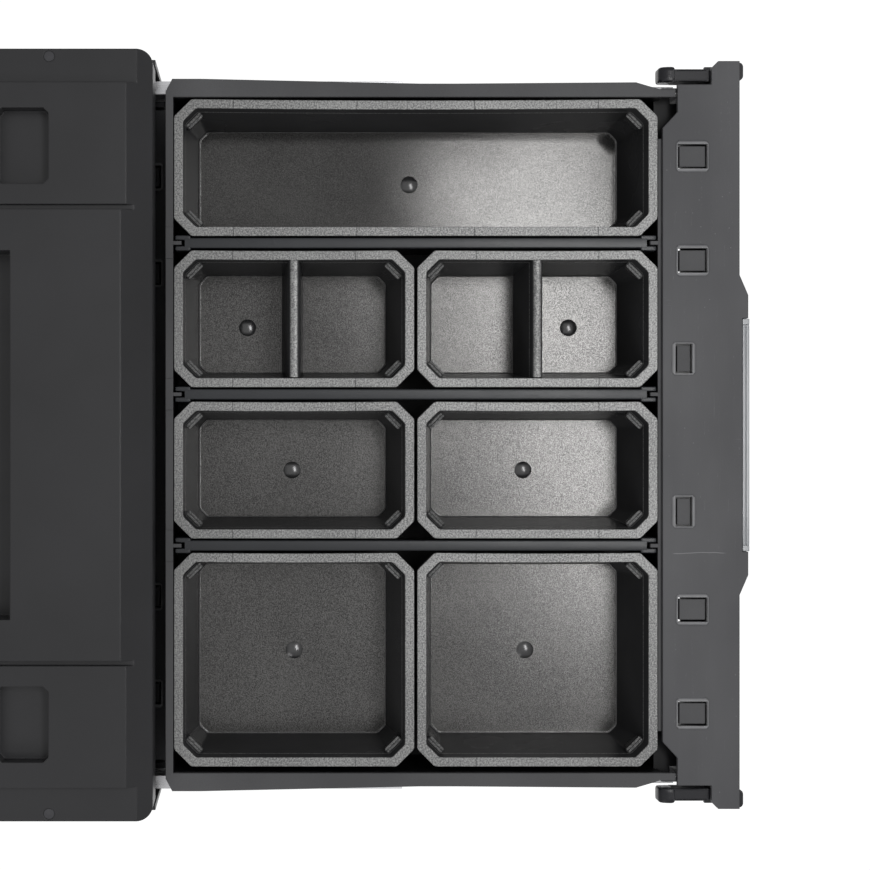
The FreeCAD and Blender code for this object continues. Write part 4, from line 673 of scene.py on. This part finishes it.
def bin_rows(half_x, half_y, low, high, bow):
    """The rounded path of rings for one bin: each row is half x, half y, cut, level, bow, turn."""
    mouth_x, mouth_y = half_x - RIM_WIDTH, half_y - RIM_WIDTH
    foot_x, foot_y = mouth_x - SIDE_DRAFT, mouth_y - END_DRAFT
    lip_x, lip_y, lip_cut = half_x - LIP, half_y - LIP, OUTER_CUT - LIP / 2
    back_x, back_y, back_cut = mouth_x + WALL * 0.9, mouth_y + WALL * 0.9, INNER_CUT + WALL / 2
    wide, small = 1.7 * MM, 1.3 * MM
    near_x, near_y = foot_x * CENTRE_SHARE, foot_y * CENTRE_SHARE
    path = [
        (near_x, near_y, INNER_CUT * CENTRE_SHARE, low, 0, wide),
        (foot_x + WALL, foot_y + WALL, back_cut, low, 0, wide),
        (back_x, back_y, back_cut, high - RIM_THICKNESS, bow, small),
        (lip_x, lip_y, lip_cut, high - RIM_THICKNESS, bow, small),
        (lip_x, lip_y, lip_cut, high - SKIRT, bow, small),
        (half_x, half_y, OUTER_CUT, high - SKIRT, bow, small),
        (half_x, half_y, OUTER_CUT, high, bow, small),
        (mouth_x, mouth_y, INNER_CUT, high, bow, small),
        (foot_x, foot_y, FLOOR_CUT, low + WALL, 0, wide),
        (near_x, near_y, FLOOR_CUT * CENTRE_SHARE, low + WALL, 0, wide),
    ]
    sizes_mm = [0, 1.6, 0.6, 0.4, 0.3, 0.3, 0.6, 0.5, 0.9, 0]
    return round_path(path, [size * MM for size in sizes_mm], 6)


# %% corner ledges
LEDGES = [(0.6, 2.0), (2.3, 3.7)]
LEDGE_HALF = 5.6 * MM
LEDGE_HEIGHT = 1.6 * MM
LEDGE_DROP = 9.2
BLOCK_DROP = 10.0
BLOCK_BACK = 1.4
BLOCK_ROWS = [(10.0, 0.5, 3.0), (10.0, 3.6, 6.2), (12.0, 3.4, 6.0), (16.0, 2.5, 5.4),
              (21.0, 1.1, 4.6), (24.0, 0.2, 4.0), (24.0, -1.0, 1.5)]


def corner_steps(half_x, half_y, high):
    """Two ledge strips across each inner corner, on a block that thins out down the wall.

    Each ledge is a span inward from the wall. The block's rows are drop below the rim, reach
    inward from the wall and half width across the corner. Its back lies BLOCK_BACK inside the
    wall's plastic. All of these, and the drops, are in millimetres.
    """
    parts = []
    mouth_x, mouth_y = half_x - RIM_WIDTH, half_y - RIM_WIDTH
    depth = high - FLOOR_Z
    for sx, sy in ((1, 1), (1, -1), (-1, 1), (-1, -1)):
        angle = math.atan2(-sy, -sx)

        def wall(drop):
            """The middle of the corner's wall at a drop below the rim."""
            share = drop * MM / depth
            return np.array([sx * (mouth_x - INNER_CUT / 2 - SIDE_DRAFT * share),
                             sy * (mouth_y - INNER_CUT / 2 - END_DRAFT * share), 0.0])

        for near, far in LEDGES:
            strip = soft_block((near * MM, far * MM), (-LEDGE_HALF, LEDGE_HALF),
                               (-LEDGE_HEIGHT, 0.0), 0.2 * MM, 9.0)
            parts.append(turned(strip, angle, wall(LEDGE_DROP) + [0, 0, high - LEDGE_DROP * MM]))
        rows = []
        for drop, far, half in BLOCK_ROWS:
            back = (wall(drop) - wall(BLOCK_DROP)) @ [math.cos(angle), math.sin(angle), 0.0]
            middle = back + (far - BLOCK_BACK) / 2 * MM
            depth_mm = max(far + BLOCK_BACK, 0.4)
            rows.append((middle, 0.0, depth_mm / 2 * MM, half * MM, high - drop * MM))
        parts.append(turned(grid_mesh(block_rings(rows, 7.0)), angle, wall(BLOCK_DROP)))
    return parts


# %% marks, folds and the seven bins
def dome(x, y, level, radius=5.4 * MM, rise=1.2 * MM):
    """A low round moulding mark: height falls from the middle as 1 - (r / radius)^2."""
    turn = np.linspace(0, 2 * math.pi, 41)[None, :-1]
    share = np.array([1.0, 1.0, 0.99, 0.95, 0.86, 0.7, 0.5, 0.28, 0.08])[:, None]
    height = rise * (1 - share ** 2)
    height[0] = -0.6 * MM
    around = radius * share
    across, along = x + around * np.cos(turn), y + around * np.sin(turn)
    return grid_mesh(np.stack([across, along, level + height + 0 * turn], axis=2))


def fold(half_x, low, high):
    """The wall across a split bin: narrow at its rounded top, wide at its foot.

    Heights above 0 are measured up from the floor, the others down from the top.
    """
    half = [(6.9, 0.4), (6.2, 3.0), (3.15, -1.6), (2.4, -0.35), (1.6, 0.0)]
    section = [(-y, rise) for y, rise in half] + half[::-1]
    points = [(y * MM, low + WALL + rise * MM if rise > 0 else high + rise * MM)
              for y, rise in section]
    return prism_mesh(points, "x", -half_x, half_x)


def build_bin(name, gates, lines=(37.0,), bow=0.5, polish=0.0, split=False):
    """One bin from its CAD box.

    Gates are the places of its moulding marks and lines those of its hairline gaps, as
    distances from its middle in millimetres. Bow is how far its right side is pulled in, in
    millimetres, and polish how much smoother its floor is.
    """
    low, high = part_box(name)
    middle = (low + high) / 2
    half_x, half_y = (high.x - low.x) / 2, (high.y - low.y) / 2
    parts = [grid_mesh(octagon_rings(bin_rows(half_x, half_y, low.z, high.z, bow * MM)))]
    parts += corner_steps(half_x, half_y, high.z)
    if split:
        under_rim = 0.3 * MM
        parts.append(fold(half_x - RIM_WIDTH - 0.6 * MM, low.z, high.z - under_rim))
    vertices, faces = merge(parts)
    vertices = vertices + np.array([middle.x, middle.y, 0.0])
    look = bin_plastic(name + " plastic", middle, [line * MM for line in lines], polish)
    piece(name + "_moulding", (vertices, faces), name + "_body", look, [name])
    marks = [dome(middle.x + x * MM, middle.y + y * MM, low.z + WALL) for x, y in gates]
    piece(name + "_mark", merge(marks), name + "_body", MATERIALS["mark"], [name])


MATERIALS["mark"] = moulding_mark("moulding mark")
build_bin("long_bin", [(-2.3, -0.7)], (35.5, 110.0), bow=1.0, polish=0.10)
build_bin("split_bin_back", [(-2.0, 28.6)], split=True)
build_bin("split_bin_front", [(-2.0, -28.6)], split=True)
for kind, gate in (("short", (-1.2, 0.3)), ("square", (-1.2, -1.0))):
    for row in ("back", "front"):
        build_bin(f"{kind}_bin_{row}", [gate])

# %% [markdown]
# ## Row dividers
#
# A divider is a thin plate under a broad bar, which covers the gap between two rows of bins.
# The bar's cross-section is a rounded rectangle, and each end opens into two rounded prongs
# that straddle a rib of the drawer, so the divider drops in without tools.


# %% dividers
def path_mesh(section, starts, ends):
    """A closed section (across, up) carried along Y, its ends closed."""
    across, up = np.array(section).T
    centre = up.mean()
    rings = []
    for y, scale in ((starts, 0.4), (starts, 1.0), (ends, 1.0), (ends, 0.4)):
        along = np.full(len(section), y)
        rings.append(np.stack([across * scale, along, centre + (up - centre) * scale], axis=1))
    return grid_mesh(np.array(rings))


def bar_section(half, low, high, edge):
    """A rectangle with quarter-round corners, as (across, up) points."""
    points = []
    for sx, sz, start in ((1, 1, 0.0), (-1, 1, 0.5), (-1, -1, 1.0), (1, -1, 1.5)):
        for u in np.linspace(0, 0.5, 5):
            angle = (start + u) * math.pi
            middle = (sx * (half - edge), (high - edge) if sz > 0 else (low + edge))
            points.append((middle[0] + edge * math.cos(angle), middle[1] + edge * math.sin(angle)))
    return points


FORK_DEPTH = 7.3 * MM
PRONG_OVERLAP = 2.0 * MM
BAR_PAST_PLATE = 1.5 * MM


def build_divider(name):
    """One divider inside its CAD box."""
    low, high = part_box(name)
    front, back = low.y + FORK_DEPTH, high.y - FORK_DEPTH
    thin = bar_section(1.0 * MM, low.z, high.z - 3.0 * MM, 0.4 * MM)
    broad = bar_section(3.1 * MM, high.z - 6.0 * MM, high.z, 0.8 * MM)
    parts = [path_mesh(thin, front, back),
             path_mesh(broad, front - BAR_PAST_PLATE, back + BAR_PAST_PLATE)]
    for side in (-1, 1):
        for y_span in ((low.y, front + PRONG_OVERLAP), (back - PRONG_OVERLAP, high.y)):
            vertices, faces = soft_block((1.8 * MM, 4.6 * MM), y_span, (low.z, high.z - 0.1 * MM),
                                         0.6 * MM, 7.0)
            parts.append((vertices * [side, 1, 1], faces))
    vertices, faces = merge(parts)
    data = (vertices + np.array([(low.x + high.x) / 2, 0.0, 0.0]), faces)
    piece(name + "_moulding", data, name + "_body", MATERIALS["divider"], [name])


for letter in "abc":
    build_divider("row_divider_" + letter)

# %% [markdown]
# ## Latch levers
#
# A lever turns on an upright pin behind the cover's corner. Behind the pin are a flat arm
# between two raised edges and a rounded knob with a sloping end. In front is a curled thumb
# hook. The necks are shallow, which leaves room for the spring below them.


# %% lever helpers
def rounded_outline(points, radius, steps=5):
    """A closed polygon whose corners are curves of the given size."""
    points = np.asarray(points, float)
    a, b = corner_cuts(points, radius, 0)
    u = np.linspace(0, 1, steps)[None, :, None]
    return quadratic(a[:, None], points[:, None], b[:, None], u).reshape(-1, 2)


def eye_mesh(x, y, low, high, radius=3.6 * MM, bore=1.85 * MM):
    """A ring around the lever's pin: its section is carried once around the pin."""
    turn = np.linspace(0, 2 * math.pi, 49)[:-1, None]
    edge = 0.4 * MM
    section = [(radius, low + edge), (radius, high - edge), (radius - edge, high),
               (bore + edge, high), (bore, high - edge), (bore, low + edge), (bore + edge, low),
               (radius - edge, low)]
    out, up = np.array(section).T[:, None, :]
    across, along = x + out * np.cos(turn), y + out * np.sin(turn)
    rings = np.stack([across, along, np.broadcast_to(up, across.shape)], axis=2)
    return grid_mesh(np.concatenate([rings, rings[:1]]), False)


# %% lever outlines
# Millimetres inward from the casing's side and backward from the hook's front.
ARM = [(10.7, 18.0), (5.8, 18.0), (4.0, 22.0), (4.0, 43.0), (11.4, 43.0), (11.4, 22.0)]
ARM_NECK = [(10.9, 14.4), (6.3, 14.4), (5.8, 19.0), (10.7, 19.0)]
HOOK_NECK = [(10.9, 9.6), (10.9, 4.0), (6.3, 4.0), (6.3, 9.6)]
HOOK = [(10.9, 5.6), (10.9, 1.6), (9.2, 0.0), (1.6, 0.0), (0.0, 1.6), (0.0, 7.2), (2.2, 7.2),
        (2.4, 3.0), (6.3, 2.8), (6.3, 5.6)]
ARM_EDGES = [(11.4, 10.4), (5.0, 4.0)]
ARM_START, ARM_END = 22.0, 43.0
PIN = (8.6, 12.0)
KNOB = (6.9, 45.85)
KNOB_HALF = (4.5, 4.75)
KNOB_SLOPE = (44.0, 6.6, 2.4)  # where the sloping end starts, its length and its fall
NECK_HEIGHT = 6.4
ARM_DROP = 0.9
# The knob's rows: share of its full size, drop below the top, lean to the back.
KNOB_ROWS = [(0.4, 12.0, 0.0), (0.95, 12.0, 0.0), (1.0, 11.4, 0.0), (1.0, 1.6, 0.0),
             (0.98, 0.8, -0.1), (0.92, 0.25, -0.3), (0.8, 0.0, -0.6), (0.4, 0.0, -0.9)]


# %% latches
def knob_mesh(x, front, top):
    """The knob: its top falls toward the back as fall * away^2.

    Away runs from 0 where the slope starts to 1 at the knob's end.
    """
    rows = []
    for share, drop, lean in KNOB_ROWS:
        half_x, half_y = (half * MM * share for half in KNOB_HALF)
        rows.append((x, front + (KNOB[1] + lean) * MM, half_x, half_y, top - drop * MM))
    vertices, faces = grid_mesh(block_rings(rows, 6.0, 56))
    start, length, fall = (value * MM for value in KNOB_SLOPE)
    away = np.clip((vertices[:, 1] - front - start) / length, 0, 1)
    upper = vertices[:, 2] > top - 3.0 * MM
    vertices[:, 2] = np.where(upper, vertices[:, 2] - fall * away ** 2, vertices[:, 2])
    return vertices, faces


def build_latch(name, side):
    """One lever inside its CAD box; side is 1 for the right and -1 for the left."""
    low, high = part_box(name)
    outer = max(abs(low.x), abs(high.x))
    bottom, top, front = low.z, high.z, low.y
    neck_low, arm_top = top - NECK_HEIGHT * MM, top - ARM_DROP * MM

    def placed(outline):
        """An outline moved to the lever's place."""
        return [(outer - inset * MM, front + depth * MM) for inset, depth in outline]

    parts = [
        prism_mesh(rounded_outline(placed(ARM), 0.8 * MM), "z", bottom, arm_top),
        prism_mesh(placed(ARM_NECK), "z", neck_low, arm_top),
        prism_mesh(placed(HOOK_NECK), "z", neck_low, top),
        prism_mesh(rounded_outline(placed(HOOK), 1.4 * MM), "z", bottom, top),
        eye_mesh(*placed([PIN])[0], neck_low, top),
    ]
    for inner, out in ARM_EDGES:
        start, end = placed([(inner, ARM_START), (out, ARM_END)])
        parts.append(soft_block((start[0], end[0]), (start[1], end[1]),
                                (top - 3.0 * MM, top - 0.2 * MM), 0.35 * MM, 8.0))
    parts.append(knob_mesh(outer - KNOB[0] * MM, front, top))
    vertices, faces = merge(parts)
    piece(name + "_lever", (vertices * [side, 1, 1], faces), name + "_body", MATERIALS["latch"],
          [name], smooth=35, bevel=0.25 * MM)


for level in ("upper", "lower"):
    build_latch(level + "_right_latch", 1)
    build_latch(level + "_left_latch", -1)

# %% [markdown]
# ## Label holders
#
# A label holder is a clear tray: a front sheet, a grooved top edge between two square end caps,
# two side walls and a bottom edge. A paper card slides in behind the front sheet. The card keeps
# its engineering shape.


# %% label holders
SHEET = 1.3 * MM
CAP = 3.4 * MM
GROOVE = (1.9 * MM, 2.4 * MM)
FLAT_SIDED = 20.0


def build_label_window(level):
    """One clear tray inside its CAD box."""
    low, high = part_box(level + "_label_window")
    across, deep = (low.x, high.x), (low.y, high.y)
    between = (low.x + CAP, high.x - CAP)
    ridge = (high.z - 1.0 * MM, high.z)
    sheets = [
        soft_block(x_span, y_span, z_span, edge * MM, FLAT_SIDED)
        for x_span, y_span, z_span, edge in (
            (across, (low.y, low.y + SHEET), (low.z, high.z - SHEET), 0.2),
            (across, deep, (low.z, low.z + SHEET), 0.3),
            (across, deep, (high.z - SHEET, high.z - 0.6 * MM), 0.1),
            (between, (low.y, low.y + GROOVE[0]), ridge, 0.3),
            (between, (low.y + GROOVE[1], high.y), ridge, 0.3),
        )
    ]
    cap_span, side_span = (high.z - 1.2 * MM, high.z), (low.z, high.z - SHEET)
    for width, z_span, edge in ((CAP, cap_span, 0.3), (SHEET, side_span, 0.2)):
        for x_span in ((low.x, low.x + width), (high.x - width, high.x)):
            sheets.append(soft_block(x_span, deep, z_span, edge * MM, 12.0))
    name = level + "_label_window"
    piece(name + "_tray", merge(sheets), level + "_drawer", MATERIALS["window"],
          [name])


build_label_window("upper")
build_label_window("lower")

# %% [markdown]
# ## Stage, lamps and camera
#
# The box stands on a pale floor under a white sky, as in a catalogue studio. A strip soft box
# above the open drawer is what the right-hand bin floors mirror, a broad one overhead fills
# the shadows, and a small one at the side shapes the casing.


# %% stage
SEEN_BY = ("Is Camera Ray", "Is Glossy Ray", "Is Transmission Ray")


def ray_of(tree, *kinds):
    """A socket that is 1 for light paths of the given kinds."""
    path = tree.nodes.new("ShaderNodeLightPath")
    total = path.outputs[kinds[0]]
    for kind in kinds[1:]:
        either = tree.nodes.new("ShaderNodeMath")
        either.operation = "MAXIMUM"
        tree.links.new(total, either.inputs[0])
        tree.links.new(path.outputs[kind], either.inputs[1])
        total = either.outputs[0]
    return total


def floor_look(colour, glow_strength, share):
    """A pale floor that glows a little: it comes out white and still shows a faint shadow."""
    material = bpy.data.materials.new("pale floor")
    material.use_nodes = True
    tree = material.node_tree
    surface = tree.nodes["Principled BSDF"]
    surface.inputs["Base Color"].default_value = (*colour, 1.0)
    surface.inputs["Roughness"].default_value = 0.9
    glow = tree.nodes.new("ShaderNodeEmission")
    glow.inputs["Strength"].default_value = glow_strength
    glow.inputs["Color"].default_value = (1.0, 1.0, 1.0, 1.0)
    seen = ray_of(tree, *SEEN_BY)
    part = tree.nodes.new("ShaderNodeMath")
    part.operation = "MULTIPLY"
    tree.links.new(seen, part.inputs[0])
    part.inputs[1].default_value = share
    mix = tree.nodes.new("ShaderNodeMixShader")
    tree.links.new(part.outputs[0], mix.inputs[0])
    tree.links.new(surface.outputs[0], mix.inputs[1])
    tree.links.new(glow.outputs[0], mix.inputs[2])
    tree.links.new(mix.outputs[0], tree.nodes["Material Output"].inputs["Surface"])
    return material


FLOOR_HALF = 6.0
FLOOR_LEVEL = -0.5 * MM
CORNERS = [(-1, -1), (1, -1), (1, 1), (-1, 1)]
floor_mesh = bpy.data.meshes.new("floor")
floor_mesh.from_pydata([(x * FLOOR_HALF, y * FLOOR_HALF, FLOOR_LEVEL) for x, y in CORNERS], [],
                       [(0, 1, 2, 3)])
floor = bpy.data.objects.new("floor", floor_mesh)
bpy.context.scene.collection.objects.link(floor)
floor_mesh.materials.append(floor_look((0.86, 0.86, 0.86), 1.15, 0.82))

# %% sky
world = bpy.data.worlds.new("studio")
bpy.context.scene.world = world
world.use_nodes = True
sky = world.node_tree
dim = sky.nodes["Background"]
white = sky.nodes.new("ShaderNodeBackground")
lights = ((dim, (0.94, 0.95, 0.97), 0.36), (white, (1.0, 1.0, 1.0), 1.0))
for background, colour, strength in lights:
    background.inputs["Color"].default_value = (*colour, 1.0)
    background.inputs["Strength"].default_value = strength
choose = sky.nodes.new("ShaderNodeMixShader")
sky.links.new(ray_of(sky, *SEEN_BY), choose.inputs[0])
sky.links.new(dim.outputs[0], choose.inputs[1])
sky.links.new(white.outputs[0], choose.inputs[2])
sky.links.new(choose.outputs[0], sky.nodes["World Output"].inputs["Surface"])


# %% lamps
def lamp(name, place, target, size, power):
    """A soft box aimed at a point."""
    data = bpy.data.lights.new(name, "AREA")
    data.shape = "RECTANGLE"
    data.size, data.size_y = size
    data.energy = power
    made = bpy.data.objects.new(name, data)
    made.location = place
    made.rotation_euler = (Vector(target) - Vector(place)).to_track_quat("-Z", "Y").to_euler()
    bpy.context.scene.collection.objects.link(made)
    print(f"{name} lamp: {power} W over {size[0]} by {size[1]} m")


lamp("strip", (0.10, -0.70, 1.65), (0.02, -0.43, 0.15), (0.74, 0.27), 11.5)
lamp("overhead", (0.0, -0.1, 2.4), (0.0, -0.25, 0.2), (2.2, 2.2), 8.0)
lamp("side", (-1.3, 0.5, 1.5), (0.0, -0.25, 0.2), (0.8, 0.6), 6.0)

# %% [markdown]
# ## Camera
#
# The camera looks straight down, with the casing at the left of the frame. Its lens follows from
# similar triangles: the frame covers 523 mm of the open drawer's rim plane from 1.06 m above it.
# Pixel columns are turned into metres along Y from the column of the casing's front.

# %% camera
FRAME_PIXELS = 870
PIXEL_SIZE = 0.6016 * MM
CASING_FRONT = -0.170
CASING_COLUMN = 155.7
PLUMB_COLUMN = 265
HEIGHT = 1.06
SENSOR = 36.0
camera_data = bpy.data.cameras.new("camera")
camera_data.sensor_width = SENSOR
camera_data.lens = SENSOR * HEIGHT / (FRAME_PIXELS * PIXEL_SIZE)
camera_data.shift_x = (FRAME_PIXELS / 2 - PLUMB_COLUMN) / FRAME_PIXELS
camera_data.clip_start = 0.01
camera = bpy.data.objects.new("camera", camera_data)
foot = CASING_FRONT - (PLUMB_COLUMN - CASING_COLUMN) * PIXEL_SIZE
camera.location = (0.0, foot, RIM_LEVEL + HEIGHT)
camera.rotation_euler = (0.0, 0.0, math.radians(-90))
bpy.context.scene.collection.objects.link(camera)
bpy.context.scene.camera = camera
bpy.context.scene.view_settings.view_transform = "Standard"
print("lens, mm:", round(camera_data.lens, 2))
